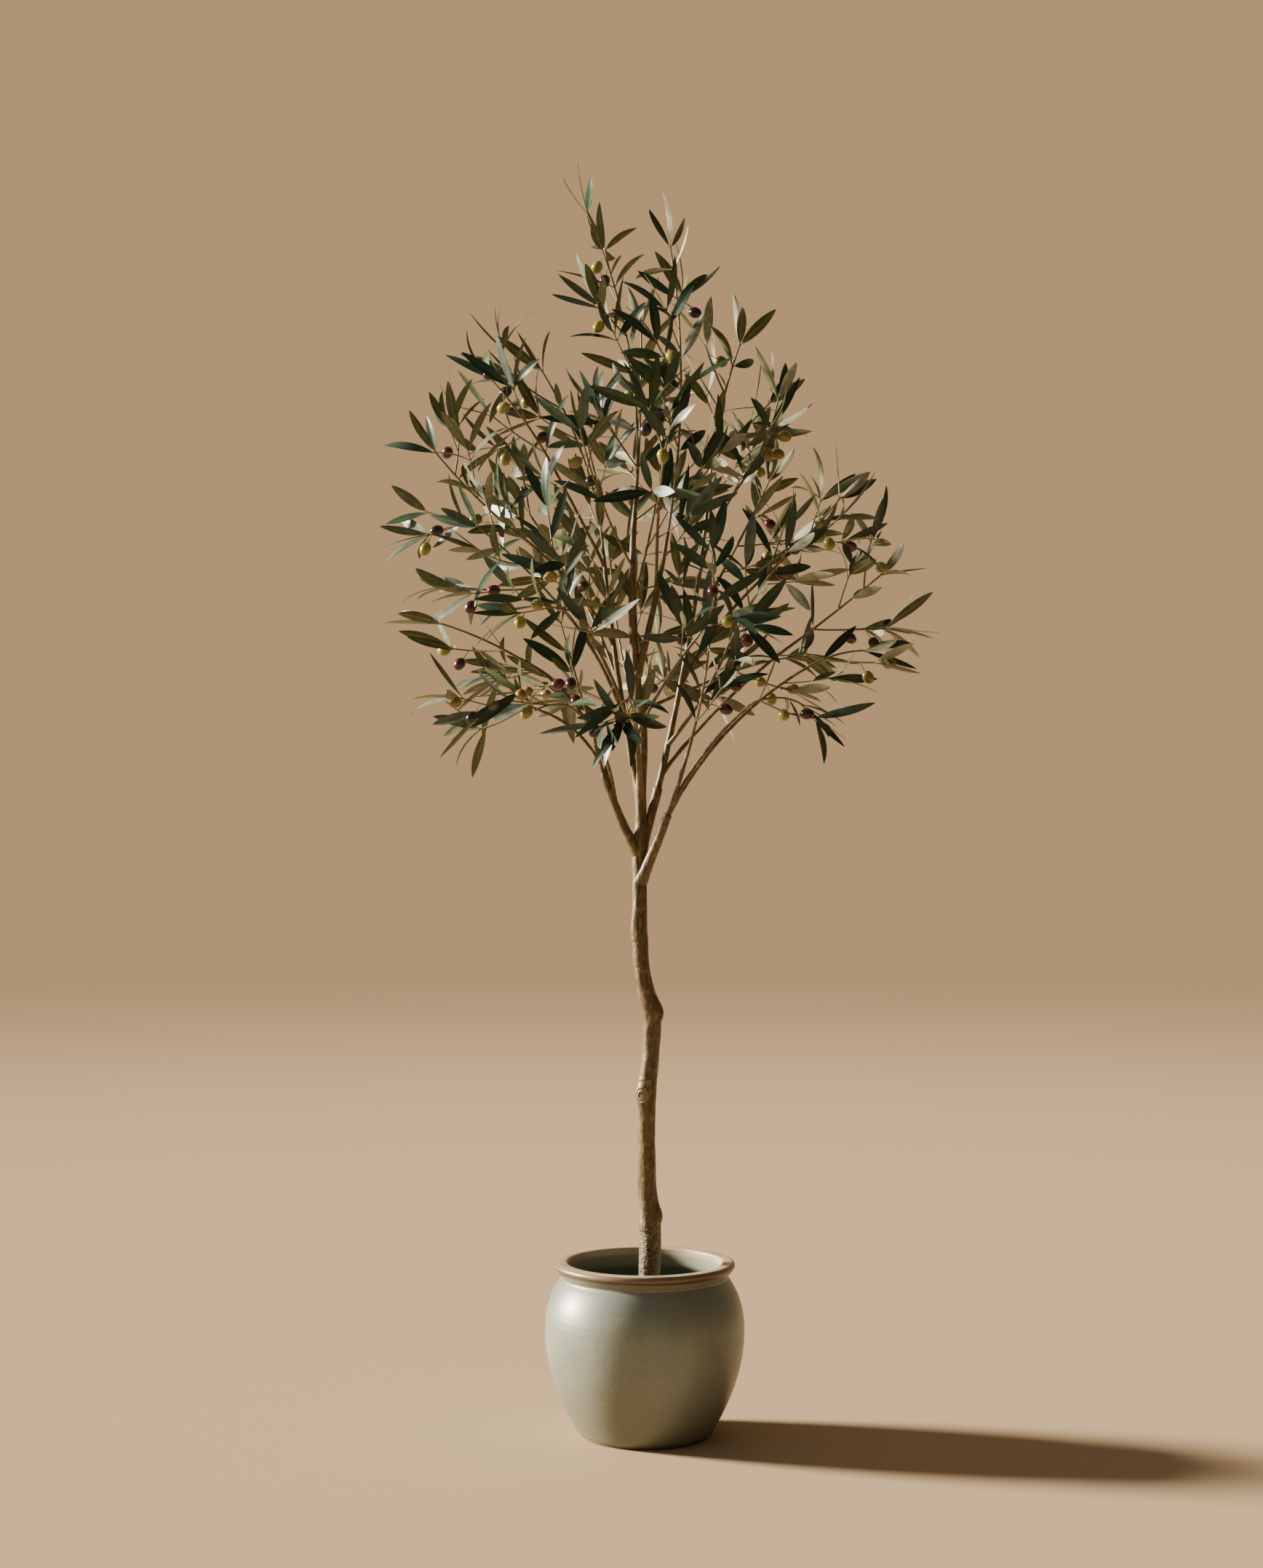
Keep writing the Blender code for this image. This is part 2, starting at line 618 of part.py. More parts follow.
def turned(along, degrees):
    """A unit vector square to along, turned round it by some degrees from level."""
    level = along.cross(Vector((0, 0, 1)))
    if level.length < 0.05:
        level = along.cross(Vector((0, 1, 0)))
    level.normalize()
    return Matrix.Rotation(math.radians(degrees), 3, along) @ level


def leaf_from(base, twig_along, turn, angle, rng, share=1.0):
    """A leaf that leaves its twig at an angle, its upper face turned out of the crown."""
    outward = turned(twig_along, turn)
    lean = angle * rng.uniform(0.75, 1.2)
    along = (twig_along * math.cos(lean) + outward * math.sin(lean)).normalized()
    along = (along + Vector((0, 0, rng.uniform(-0.30, 0.12)))).normalized()
    abroad = Vector((base.x, base.y, 0.0)).normalized()
    face = abroad * 0.8 + Vector((0, 0, 0.35)) + twig_along * 0.3
    face += along.cross(face) * rng.uniform(-0.6, 0.6)
    face = (face - along * face.dot(along)).normalized()
    length = LEAF_LENGTH * share * rng.uniform(0.82, 1.12)
    return Leaf(base, along, face, length, LEAF_WIDTH * rng.uniform(0.85, 1.1))


def leaf_choices(key, base, twig_along, turn, angle, share=1.0):
    """A leaf, and the ways it turns aside where something is in its way."""
    return [
        leaf_from(base, twig_along, turn + aside, angle, random.Random(key), share)
        for aside in TURNS_ASIDE
    ]


def leaves_on(key, route, first, pitch, forks):
    """Opposite pairs along a twig, one leaf at each fork, and a fan at the twig's tip."""
    slots = []
    start = random.Random(key).uniform(0, 90)
    count = max(0, int((route.length - first - pitch * 0.5) / pitch) + 1)
    for pair in range(count):
        point, along, _ = route.at((first + pair * pitch) / route.length)
        for side in (0, 180):
            if side or pair not in forks:
                turn = start + PAIR_TURN * pair + side
                slots.append(leaf_choices(f"{key} {pair} {side}", point, along, turn, LEAF_ANGLE))
    point, along, _ = route.at(1 - TIP_SINK / route.length)
    for blade in range(TIP_LEAVES):
        turn = start + 45 + 360 / TIP_LEAVES * blade
        angle = LEAF_ANGLE * (0.35 + 0.2 * blade)
        slots.append(leaf_choices(f"{key} tip {blade}", point, along, turn, angle, 0.92))
    return slots


def side_twig(key, point, along, outward, length):
    """A side twig, which leaves its stem at TWIG_ANGLE and lifts a little to its tip."""
    rng = random.Random(key)
    lean = TWIG_ANGLE * rng.uniform(0.8, 1.2)
    leaving = (along * math.cos(lean) + outward * math.sin(lean)).normalized()
    arriving = (leaving + along * 0.3 + Vector((0, 0, rng.uniform(-0.1, 0.25)))).normalized()
    reach = length * rng.uniform(0.8, 1.15)
    end = point + (leaving + arriving).normalized() * reach
    points = bow(point, leaving, end, arriving, BOW_PITCH)
    count = len(points) - 1
    low, high = TWIG_RADIUS
    return Route(points, [low + (high - low) * i / count for i in range(count + 1)])


def twig_choices(spray, stem):
    """For each fork of a spray's stem, its side twig and the ways it may turn aside."""
    last = int((stem.length * LAST_FORK - FIRST_PAIR) / STEM_PITCH)
    start = random.Random(spray.name).uniform(0, 90)
    choices = []
    for pair in range(0, last + 1, PAIRS_PER_FORK):
        key = f"{spray.name} twig {pair}"
        share = (FIRST_PAIR + pair * STEM_PITCH) / stem.length
        point, along, _ = stem.at(share)
        length = spray.spread * (1.15 - 0.55 * share)
        turns = [start + PAIR_TURN * pair + aside for aside in TURNS_ASIDE]
        choices.append(
            [(key, side_twig(key, point, along, turned(along, turn), length)) for turn in turns]
        )
    return choices


def olives_on(spray, twigs):
    """Olives that hang by short stalks from the spray's side twigs."""
    rng = random.Random(spray.name + " olives")
    bearers = twigs[1:] or twigs
    found = []
    for i in range(spray.olives):
        twig = bearers[(i * 2 + 1) % len(bearers)]
        base, along, _ = twig.route.at(rng.uniform(0.3, 0.6))
        hang = (turned(along, rng.uniform(0, 360)) * 0.7 + Vector((0, 0, -0.8))).normalized()
        found.append(Olive(base, base + hang * (OLIVE_STALK + OLIVE_RADIUS * 0.8), hang))
    return found


# ================================================================ foliage solids
def leaf_corners(leaf, shrink_from_base=0.0, grow_by=0.0):
    """A leaf's six corners: two at its neck, its two edges, its tip and its ridge."""
    side = leaf.along.cross(leaf.face)
    start = leaf.base + leaf.along * leaf.length * shrink_from_base
    belly = leaf.base + leaf.along * leaf.length * LEAF_BELLY
    half_width = leaf.width / 2 + grow_by
    up = leaf.face
    return [
        start + up * (LEAF_NECK / 2 + grow_by),
        start - up * (LEAF_NECK / 2 + grow_by),
        belly + side * half_width - up * (LEAF_NECK / 2 + grow_by),
        belly - side * half_width - up * (LEAF_NECK / 2 + grow_by),
        leaf.base + leaf.along * (leaf.length + grow_by) - up * LEAF_NECK / 2,
        belly + up * (LEAF_THICKNESS - LEAF_NECK / 2 + grow_by),
    ]


LEAF_FACES = (
    (0, 5, 2),
    (2, 5, 4),
    (4, 5, 3),
    (3, 5, 0),
    (1, 2, 3),
    (2, 4, 3),
    (0, 2, 1),
    (0, 1, 3),
)


def leaf_solid(leaf):
    bm = bmesh.new()
    verts = [bm.verts.new(corner) for corner in leaf_corners(leaf)]
    for face in LEAF_FACES:
        bm.faces.new([verts[i] for i in face])
    bmesh.ops.recalc_face_normals(bm, faces=bm.faces)
    return bm


def olive_solid(olive):
    bm = bmesh.new()
    bmesh.ops.create_icosphere(bm, subdivisions=1, radius=OLIVE_RADIUS)
    bmesh.ops.scale(bm, vec=(1, 1, OLIVE_STRETCH), verts=bm.verts)
    turn = olive.axis.to_track_quat("Z", "Y").to_matrix().to_4x4()
    bmesh.ops.transform(bm, matrix=Matrix.Translation(olive.centre) @ turn, verts=bm.verts)
    return bm


def stalk_route(olive):
    return Route([olive.base, olive.base.lerp(olive.centre, 0.9)], [0.0011, 0.0009])


def bvh_of(bm):
    tree = BVHTree.FromBMesh(bm)
    bm.free()
    return tree


class Territory:
    """The space that each spray keeps to: what is nearer to its twigs than to any other's."""

    def __init__(self, routes_by_name):
        samples = []
        for name, routes in routes_by_name.items():
            for route in routes:
                steps = max(2, round(route.length / TERRITORY_PITCH))
                samples += [(route.at(i / steps)[0], name) for i in range(steps + 1)]
        self.names = [name for _, name in samples]
        self.tree = KDTree(len(samples))
        for i, (point, _) in enumerate(samples):
            self.tree.insert(point, i)
        self.tree.balance()

    def holds(self, name, points):
        for point in points:
            near = self.tree.find_n(point, TERRITORY_NEIGHBOURS)
            nearest = near[0][2]
            rivals = [distance for _, i, distance in near if self.names[i] != name]
            if rivals and min(rivals) < nearest + TERRITORY_MARGIN:
                return False
        return True


def clear_of(tree, others):
    return not any(tree.overlap(other) for other in others)


def select_twigs(stems, limb_tree):
    """Each spray's twigs: its stem, and the side twigs that keep to its space."""
    territory = Territory({name: [stem] for name, stem in stems.items()})
    trees = {name: [bvh_of(stem.solid(GAP))] for name, stem in stems.items()}
    twigs = {}
    for spray in SPRAYS:
        stem = stems[spray.name]
        kept = [Twig(spray.name, stem)]
        rivals = [tree for name, own in trees.items() if name != spray.name for tree in own]
        for choices in twig_choices(spray, stem):
            for key, route in choices:
                tree = bvh_of(route.solid(GAP, first_point=1))
                inside = territory.holds(spray.name, route.points)
                if inside and clear_of(tree, [limb_tree, *rivals, *trees[spray.name]]):
                    kept.append(Twig(key, route))
                    trees[spray.name].append(tree)
                    break
        twigs[spray.name] = kept
    return twigs, trees


def select_leaves(spray, twigs, territory, obstacles, own):
    """The leaves that keep to the spray's space and touch nothing but their own twig."""
    kept = []
    last = int((twigs[0].route.length * LAST_FORK - FIRST_PAIR) / STEM_PITCH)
    forks = range(0, last + 1, PAIRS_PER_FORK)
    slots = leaves_on(spray.name, twigs[0].route, FIRST_PAIR, STEM_PITCH, forks)
    for twig in twigs[1:]:
        slots += leaves_on(twig.key, twig.route, TWIG_PITCH, TWIG_PITCH, ())
    for choices in slots:
        for leaf in choices:
            corners = leaf_corners(leaf, shrink_from_base=0.16, grow_by=GAP)
            tree = BVHTree.FromPolygons(corners, LEAF_FACES)
            if territory.holds(spray.name, corners) and clear_of(tree, [*obstacles, *own]):
                own.append(tree)
                kept.append(leaf)
                break
    return kept


def select_olives(spray, twigs, territory, obstacles):
    kept = []
    for olive in olives_on(spray, twigs):
        tree = bvh_of(olive_solid(olive))
        if territory.holds(spray.name, [olive.centre]) and clear_of(tree, obstacles):
            kept.append(olive)
    return kept


def fuse_spray(spray, twigs, leaves, olives, finish):
    """Joins the stem, twigs, leaves and olives into one solid."""
    body = object_from(spray.name, twigs[0].route.solid(), finish)
    loose = bpy.data.collections.new(spray.name + "_pieces")
    bpy.context.scene.collection.children.link(loose)
    shapes = [twig.route.solid() for twig in twigs[1:]]
    shapes += [leaf_solid(leaf) for leaf in leaves]
    for olive in olives:
        shapes += [stalk_route(olive).solid(), olive_solid(olive)]
    for i, bm in enumerate(shapes):
        piece = object_from(f"{spray.name}_piece_{i}", bm)
        bpy.context.scene.collection.objects.unlink(piece)
        loose.objects.link(piece)
    apply_boolean(body, "UNION", loose)
    for piece in list(loose.objects):
        bpy.data.objects.remove(piece)
    bpy.data.collections.remove(loose)
    return body


def tree_of(objects):
    bm = bmesh.new()
    for obj in objects:
        bm.from_mesh(obj.data)
    return bvh_of(bm)


def build_foliage(routes, limbs, cutters, finish):
    stems = {spray.name: stem_route(spray, routes[spray.limb]) for spray in SPRAYS}
    limb_tree = tree_of(limbs)
    twigs, twig_trees = select_twigs(stems, limb_tree)
    territory = Territory(
        {name: [twig.route for twig in kept] for name, kept in twigs.items()}
    )
    placed = [limb_tree]
    for spray in SPRAYS:
        name = spray.name
        rivals = [tree for other, own in twig_trees.items() if other != name for tree in own]
        obstacles = placed + rivals
        leaves = select_leaves(spray, twigs[name], territory, obstacles, list(twig_trees[name][1:]))
        olives = select_olives(spray, twigs[name], territory, obstacles)
        body = fuse_spray(spray, twigs[name], leaves, olives, finish)
        if spray.leaves_at < 1.0:
            apply_boolean(body, "DIFFERENCE", cutters[spray.limb])
        keep_largest_body(body)
        placed.append(tree_of([body]))


def main():
    clear_scene()
    bark = material("moulded_bark", BARK)
    build_pot(material("celadon_glaze", GLAZE))
    build_soil(material("soil", SOIL))
    routes = {"trunk": trunk_route()}
    trunk = build_trunk(routes["trunk"], bark)
    limbs, cutters = build_limbs(routes, bark)
    build_foliage(routes, [trunk, *limbs], cutters, material("foliage", FOLIAGE))


main()
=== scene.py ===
import json
import math
import random
from collections import namedtuple

import bpy
import numpy as np
from mathutils import Matrix, Vector, noise
from mathutils.bvhtree import BVHTree
from mathutils.geometry import interpolate_bezier
from mathutils.kdtree import KDTree

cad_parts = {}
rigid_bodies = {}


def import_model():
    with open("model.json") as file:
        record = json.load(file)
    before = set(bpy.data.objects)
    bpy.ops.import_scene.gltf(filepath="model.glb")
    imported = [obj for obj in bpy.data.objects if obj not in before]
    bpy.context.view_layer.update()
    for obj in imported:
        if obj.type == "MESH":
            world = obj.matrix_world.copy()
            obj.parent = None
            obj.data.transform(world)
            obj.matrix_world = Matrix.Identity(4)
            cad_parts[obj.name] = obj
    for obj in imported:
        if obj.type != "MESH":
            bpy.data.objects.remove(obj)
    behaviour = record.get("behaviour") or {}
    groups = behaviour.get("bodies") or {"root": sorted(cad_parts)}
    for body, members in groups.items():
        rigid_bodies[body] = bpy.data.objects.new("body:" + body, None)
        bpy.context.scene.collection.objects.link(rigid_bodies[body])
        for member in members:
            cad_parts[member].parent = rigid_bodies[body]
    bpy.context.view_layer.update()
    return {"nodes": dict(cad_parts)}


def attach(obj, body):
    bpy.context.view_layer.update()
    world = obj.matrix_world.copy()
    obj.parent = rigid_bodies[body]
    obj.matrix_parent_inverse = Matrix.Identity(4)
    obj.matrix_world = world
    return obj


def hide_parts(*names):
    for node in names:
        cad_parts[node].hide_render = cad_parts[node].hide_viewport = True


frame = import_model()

# ======== sizes, in metres
# ---- pot and soil
POT_HEIGHT = 0.248
POT_SIDES = 144
FOOT_RADIUS = 0.092
FOOT_ROUNDING = 0.004
BELLY_RADIUS = 0.1425
BELLY_HEIGHT = 0.150
BELLY_SWELL = 0.9
SHOULDER_TOP = 0.2215
SHOULDER_FALL = 2.4
NECK_RADIUS = 0.1185
NECK_HEIGHT = 0.2265
NECK_CURVE = 0.0030
LIP_RADIUS = 0.129
LIP_ROLL = 0.0056
MOUTH_RADIUS = 0.110
MOUTH_ROLL = LIP_ROLL * 0.6
WALL = 0.010
INSIDE_FLOOR = 0.150
SOIL_TOP = 0.186
SOIL_CROWN = 0.004
SOIL_PEAK = SOIL_TOP + SOIL_CROWN + 0.002
SOIL_CLEARANCE = 0.0006
SOIL_RINGS, SOIL_SIDES = 40, 120
SOIL_LUMP = 0.0022
SOIL_CRUMBS = 900
CRUMB_SIZE, CRUMB_GROWTH = 0.0009, 0.0022
CRUMB_HEIGHTS = (-1, -0.4, 0.5, 1)
GAP = 0.0003
TRUNK_FOOT = SOIL_TOP + SOIL_CROWN + GAP

# ---- trunk
Bend = namedtuple("Bend", "height right radius")
TRUNK_BENDS = tuple(Bend(*row) for row in (
    (TRUNK_FOOT, 0.0062, 0.0185), (0.212, 0.0066, 0.0158), (0.292, 0.0073, 0.0154),
    (0.360, 0.0030, 0.0136), (0.438, 0.0022, 0.0130), (0.487, 0.0033, 0.0130),
    (0.540, 0.0082, 0.0124), (0.590, 0.0098, 0.0128), (0.632, 0.0019, 0.0121),
    (0.662, -0.0037, 0.0113), (0.730, -0.0076, 0.0110), (0.784, -0.0074, 0.0104),
    (0.838, -0.0080, 0.0104), (0.877, -0.0055, 0.0084), (0.916, -0.0061, 0.0082),
    (1.000, -0.0027, 0.0066), (1.095, -0.0135, 0.0064), (1.206, -0.0180, 0.0056),
    (1.272, -0.0170, 0.0045), (1.358, -0.0118, 0.0026),
))
Knob = namedtuple("Knob", "height heading bulge half_length")
SCARRED_KNOB = Knob(0.487, 212, 0.0048, 0.013)
TRUNK_KNOBS = (
    Knob(0.312, 0, 0.0048, 0.011),
    SCARRED_KNOB,
    Knob(0.606, -10, 0.0068, 0.015),
    Knob(0.717, 180, 0.0026, 0.013),
)
SMALL_KNOBS = (
    Knob(0.300, 246, 0.0022, 0.010),
    Knob(0.520, 236, 0.0014, 0.016),
    Knob(0.680, 205, 0.0012, 0.012),
)
KNOB_GRIP = 2.5
KNOB_ABOVE, KNOB_BELOW = 1.35, 0.90
TRUNK_SWAY = 0.005
TRUNK_SWAY_PITCH = 0.62
TRUNK_RING_PITCH = 0.048

# ---- boughs and branches
Limb = namedtuple("Limb", "name parent leaves_at tip rise base_radius tip_radius")
BRANCH_TIP_RADIUS = 0.0021
BOUGHS = tuple(Limb("bough_" + name, *row) for name, *row in (
    ("left", "trunk", 0.828, (-0.070, -0.022, 0.985), 76, 0.0064, 0.0034),
    ("left_inner", "trunk", 0.902, (-0.060, 0.040, 1.270), 84, 0.0054, 0.0027),
    ("right_front", "trunk", 0.788, (0.066, -0.056, 0.995), 72, 0.0070, 0.0032),
    ("right_back", "trunk", 0.822, (0.096, 0.055, 1.380), 84, 0.0064, 0.0025),
    ("right_inner", "trunk", 1.082, (0.033, -0.020, 1.290), 80, 0.0056, 0.0027),
    ("front", "trunk", 0.905, (-0.016, -0.118, 1.030), 24, 0.0048, 0.0026),
    ("back", "trunk", 0.940, (0.005, 0.135, 1.090), 32, 0.0048, 0.0026),
))
BRANCHES = tuple(Limb("branch_" + name, *row, BRANCH_TIP_RADIUS) for name, *row in (
    ("low_left", "bough_left", 0.72, (-0.144, -0.035, 1.032), 18, 0.0027),
    ("low_left_front", "bough_left", 0.46, (-0.095, -0.120, 1.030), 15, 0.0027),
    ("left", "bough_left", 0.60, (-0.180, 0.010, 1.110), 25, 0.0028),
    ("left_mid", "bough_left_inner", 0.30, (-0.128, -0.050, 1.190), 40, 0.0028),
    ("far_left", "bough_left_inner", 0.62, (-0.185, 0.000, 1.290), 35, 0.0028),
    ("upper_left", "bough_left_inner", 0.93, (-0.130, -0.020, 1.380), 55, 0.0026),
    ("low_right", "bough_right_front", 0.50, (0.140, -0.075, 1.035), 40, 0.0030),
    ("right_low", "bough_right_front", 0.36, (0.230, -0.015, 1.095), 30, 0.0030),
    ("right_front", "bough_right_back", 0.30, (0.115, -0.085, 1.120), 55, 0.0029),
    ("right_outer", "bough_right_back", 0.22, (0.225, 0.055, 1.140), 35, 0.0029),
    ("right_high", "bough_right_back", 0.45, (0.190, 0.045, 1.245), 40, 0.0028),
    ("right_upper", "bough_right_back", 0.72, (0.145, 0.000, 1.370), 45, 0.0026),
    ("front_high", "bough_right_inner", 0.55, (0.018, -0.105, 1.300), 35, 0.0027),
    ("front_left", "bough_front", 0.45, (-0.085, -0.130, 1.150), 45, 0.0026),
    ("front_right", "bough_front", 0.66, (0.070, -0.150, 1.130), 40, 0.0026),
    ("back_left_low", "bough_back", 0.45, (-0.110, 0.125, 1.075), 20, 0.0027),
    ("back_right_low", "bough_back", 0.60, (0.115, 0.145, 1.090), 20, 0.0027),
    ("back_left", "bough_left_inner", 0.45, (-0.115, 0.125, 1.245), 45, 0.0026),
    ("back_right", "bough_right_back", 0.58, (0.130, 0.165, 1.270), 40, 0.0026),
))
LIMBS = BOUGHS + BRANCHES
LIMB_NAMES = [limb.name for limb in LIMBS]
BOUGH_RING_PITCH = 0.055
BRANCH_RING_PITCH = 0.040
SUNK_BASE = 0.9
COLLAR_SWELL = 0.35
COLLAR_LENGTH = 0.012

# ---- foliage
Spray = namedtuple("Spray", "name limb leaves_at tip spread leafiness")
SPRAYS = tuple(Spray("foliage_" + name, *row) for name, *row in (
    ("top_left", "trunk", 1.0, (-0.0825, -0.020, 1.744), 0.085, 0.85),
    ("top_right", "bough_right_inner", 1.0, (0.036, 0.000, 1.700), 0.091, 1.00),
    ("top_middle", "trunk", 0.94, (-0.005, 0.080, 1.600), 0.098, 0.50),
    ("upper_left", "branch_upper_left", 1.0, (-0.222, -0.030, 1.508), 0.098, 0.65),
    ("upper_left_inner", "bough_left_inner", 1.0, (-0.150, 0.050, 1.530), 0.104, 0.70),
    ("far_left", "branch_far_left", 1.0, (-0.300, -0.010, 1.405), 0.104, 0.70),
    ("left_mid", "branch_left_mid", 1.0, (-0.235, -0.090, 1.290), 0.104, 1.10),
    ("left_outer", "branch_left", 1.0, (-0.292, 0.010, 1.160), 0.104, 0.55),
    ("left_inner", "bough_left", 1.0, (-0.120, -0.030, 1.160), 0.098, 0.80),
    ("low_left", "branch_low_left", 1.0, (-0.235, -0.040, 1.030), 0.091, 0.65),
    ("low_left_front", "branch_low_left_front", 1.0, (-0.150, -0.190, 1.030), 0.085, 0.85),
    ("upper_right", "bough_right_back", 1.0, (0.139, 0.060, 1.570), 0.098, 1.30),
    ("right_upper", "branch_right_upper", 1.0, (0.190, -0.030, 1.480), 0.085, 0.60),
    ("right_high", "branch_right_high", 1.0, (0.284, 0.040, 1.345), 0.098, 0.65),
    ("right_outer", "branch_right_outer", 1.0, (0.345, 0.045, 1.235), 0.098, 0.62),
    ("right_low", "branch_right_low", 1.0, (0.315, -0.020, 1.120), 0.085, 0.55),
    ("low_right", "branch_low_right", 1.0, (0.220, -0.095, 1.040), 0.085, 0.45),
    ("right_inner", "bough_right_front", 1.0, (0.092, -0.078, 1.160), 0.080, 1.20),
    ("right_front", "branch_right_front", 1.0, (0.195, -0.150, 1.250), 0.098, 1.30),
    ("front_low", "bough_front", 1.0, (-0.035, -0.215, 1.035), 0.091, 0.90),
    ("front_left", "branch_front_left", 1.0, (-0.130, -0.205, 1.260), 0.098, 0.80),
    ("front_right", "branch_front_right", 1.0, (0.090, -0.240, 1.210), 0.098, 1.00),
    ("front_high", "branch_front_high", 1.0, (0.030, -0.210, 1.400), 0.104, 0.50),
    ("front_upper_left", "trunk", 0.90, (-0.090, -0.130, 1.420), 0.098, 0.45),
    ("back_low", "bough_back", 1.0, (0.010, 0.240, 1.110), 0.091, 0.80),
    ("back_left_low", "branch_back_left_low", 1.0, (-0.210, 0.190, 1.110), 0.098, 0.80),
    ("back_right_low", "branch_back_right_low", 1.0, (0.215, 0.200, 1.120), 0.098, 0.60),
    ("back_left", "branch_back_left", 1.0, (-0.190, 0.190, 1.360), 0.104, 0.85),
    ("back_right", "branch_back_right", 1.0, (0.190, 0.225, 1.390), 0.104, 0.85),
    ("back_high", "trunk", 0.86, (0.030, 0.190, 1.440), 0.098, 0.55),
    ("heart", "trunk", 0.70, (-0.050, 0.110, 1.260), 0.098, 0.50),
))
SPRAY_NAMES = [spray.name for spray in SPRAYS]
STEM_RADIUS = (0.0020, 0.0013)
TWIG_RADIUS = (0.0014, 0.0012)
STEM_PITCH = 0.047
BOW_PITCH = 0.070
FIRST_PAIR = 0.024
PAIR_TURN = 113
PAIRS_PER_FORK = 2
LAST_FORK = 0.84
REACH_AT_FOOT, REACH_LOST = 1.15, 0.55
TWIG_ANGLE = math.radians(48)
LEAF_ANGLE = math.radians(50)
TURNS_ASIDE = (0, 35, -35)
TIP_LEAVES = 3
TIP_SINK = 0.004
TERRITORY_MARGIN = 0.0015
TERRITORY_PITCH = 0.006
TERRITORY_NEIGHBOURS = 14

# ---- what the fine model adds: rings, bark, twiglets, shoots, leaves and olives
TRUNK_RING = 0.0018
TRUNK_SIDES = 84
LIMB_RING = 0.003
BOUGH_SIDES = 24
BRANCH_SIDES = 12
TWIG_RING = 0.009
TWIG_SIDES = 6
TRUNK_GRAIN = 0.00085
LIMB_GRAIN = 0.0007
FULL_GRAIN_TRUNK, FULL_GRAIN_LIMB = 0.009, 0.005
FORK_GRAIN, FORK_HEIGHT, FORK_SPAN = 0.0004, 0.86, 0.06
# How often each kind of grain comes in a metre across and along, and its share of the relief.
Grain = namedtuple("Grain", "across along share")
CREASES, SWELLS, GRIT = Grain(300, 70, 0.12), Grain(110, 40, 0.95), Grain(520, 520, 0.12)
BARK_GRANULES = 0.0010
GRANULES_TOP, GRANULES_FADE = 0.305, 0.012
FINE_STEM_PITCH = STEM_PITCH * 0.94
FINE_TWIG_PITCH = 0.056
TWIGLET_PITCH = 0.052
FINE_PAIRS_PER_FORK = 3
TWIGLET_RADIUS = (0.0011, 0.0008)
LIMB_SPACE, TWIG_SPACE, TWIGLET_SPACE = 0.0025, 0.0028, 0.0060
TWIGLET_OF_SPREAD = 0.62
TWIGLET_TURNS = (0, 60, -60, 120, -120)
CLEAR_OF_LIMB = 0.005
BRANCHED_TWIG = 0.085
BRANCHED_AT, BRANCHED_REACH = 0.45, 0.50
SPARSE = 0.61  # a spray that is leaved no more closely than this has no twiglets
SHOOT_PITCH = 0.080
SHOOT_LENGTH = 0.060
SHOOTS_FROM = 0.40
SHOOTS_ABOVE = 1.06
LEAF_LENGTH = 0.078
LEAF_WIDTH = 0.0145
LEAF_SPACING = 0.0090
LEAF_LENGTHS, LEAF_WIDTHS = (0.80, 1.20), (0.84, 1.12)
LEAF_LEANS, LEAF_LIFTS, LEAF_ROLLS = (0.75, 1.2), (-0.30, 0.12), (-1.3, 1.3)
LEAF_BENDS, LEAF_TWISTS, LEAF_FOLDS = (-0.15, 0.70), (-0.35, 0.35), (0.10, 0.32)
OLIVE_RADIUS = 0.0081
OLIVE_STRETCH = 1.25
OLIVE_STALK = 0.018
OLIVE_RINGS, OLIVE_SIDES = 12, 18
OLIVE_DIMPLE = 0.06
OLIVES_HANG = (0.30, 0.90)
OLIVES_PER_SPRAY = 3
OLIVES_APART = 0.032
OLIVE_SPACE = 0.0150
OLIVE_TRIES = 60
CROWN_MIDDLE = Vector((0.02, 0.0, 1.25))
# Where a thick bough is cut square and goes on as a thinner one: its height, and how many
# times the even taper it is before the cut and after it.
Cut = namedtuple("Cut", "height before after")
CUTS = {
    "bough_left": Cut(0.943, 1.22, 0.72),
    "bough_right_back": Cut(0.923, 1.12, 0.86),
    "bough_right_front": Cut(0.886, 1.15, 0.78),
}
CUT_RIM, CUT_RIM_WIDTH = 0.0007, 0.0035
# Ridges and grooves that stand out by a height. A knob's lie level, some half lengths below
# its middle. The scar of a cut side limb has rings, at shares of its reach.
Fold = namedtuple("Fold", "height at width")
KNOB_FOLDS = (Fold(-0.0006, 0.95, 0.0018), Fold(0.0006, 0.72, 0.0022))
SCAR_FOLDS = (Fold(0.0015, 0.85, 0.17), Fold(0.0006, 0.42, 0.12), Fold(-0.0012, 0.0, 0.24))
SCAR_HEIGHT = 0.486
SCAR_HEADING = math.radians(238)
SCAR_OUT = 0.0168
SCAR_ROUND = (1.0, 1.0, 0.92)
SCAR_CENTRE = (
    0.0033 + SCAR_OUT * math.cos(SCAR_HEADING),
    -0.0008 + SCAR_OUT * math.sin(SCAR_HEADING),
    SCAR_HEIGHT * SCAR_ROUND[2],
)
SCAR_REACH = 0.0112
SCAR_RING = 0.0045
SCAR_CREAM = (0.44, 0.36, 0.22)


# ======== shader expressions
def maths(operation, reflected=False):
    """A method that puts a wire, and what it meets, through a Math node."""

    def method(self, *others):
        values = (*others, self) if reflected else (self, *others)
        return self.nodes.node("ShaderNodeMath", {"operation": operation}, values)

    return method


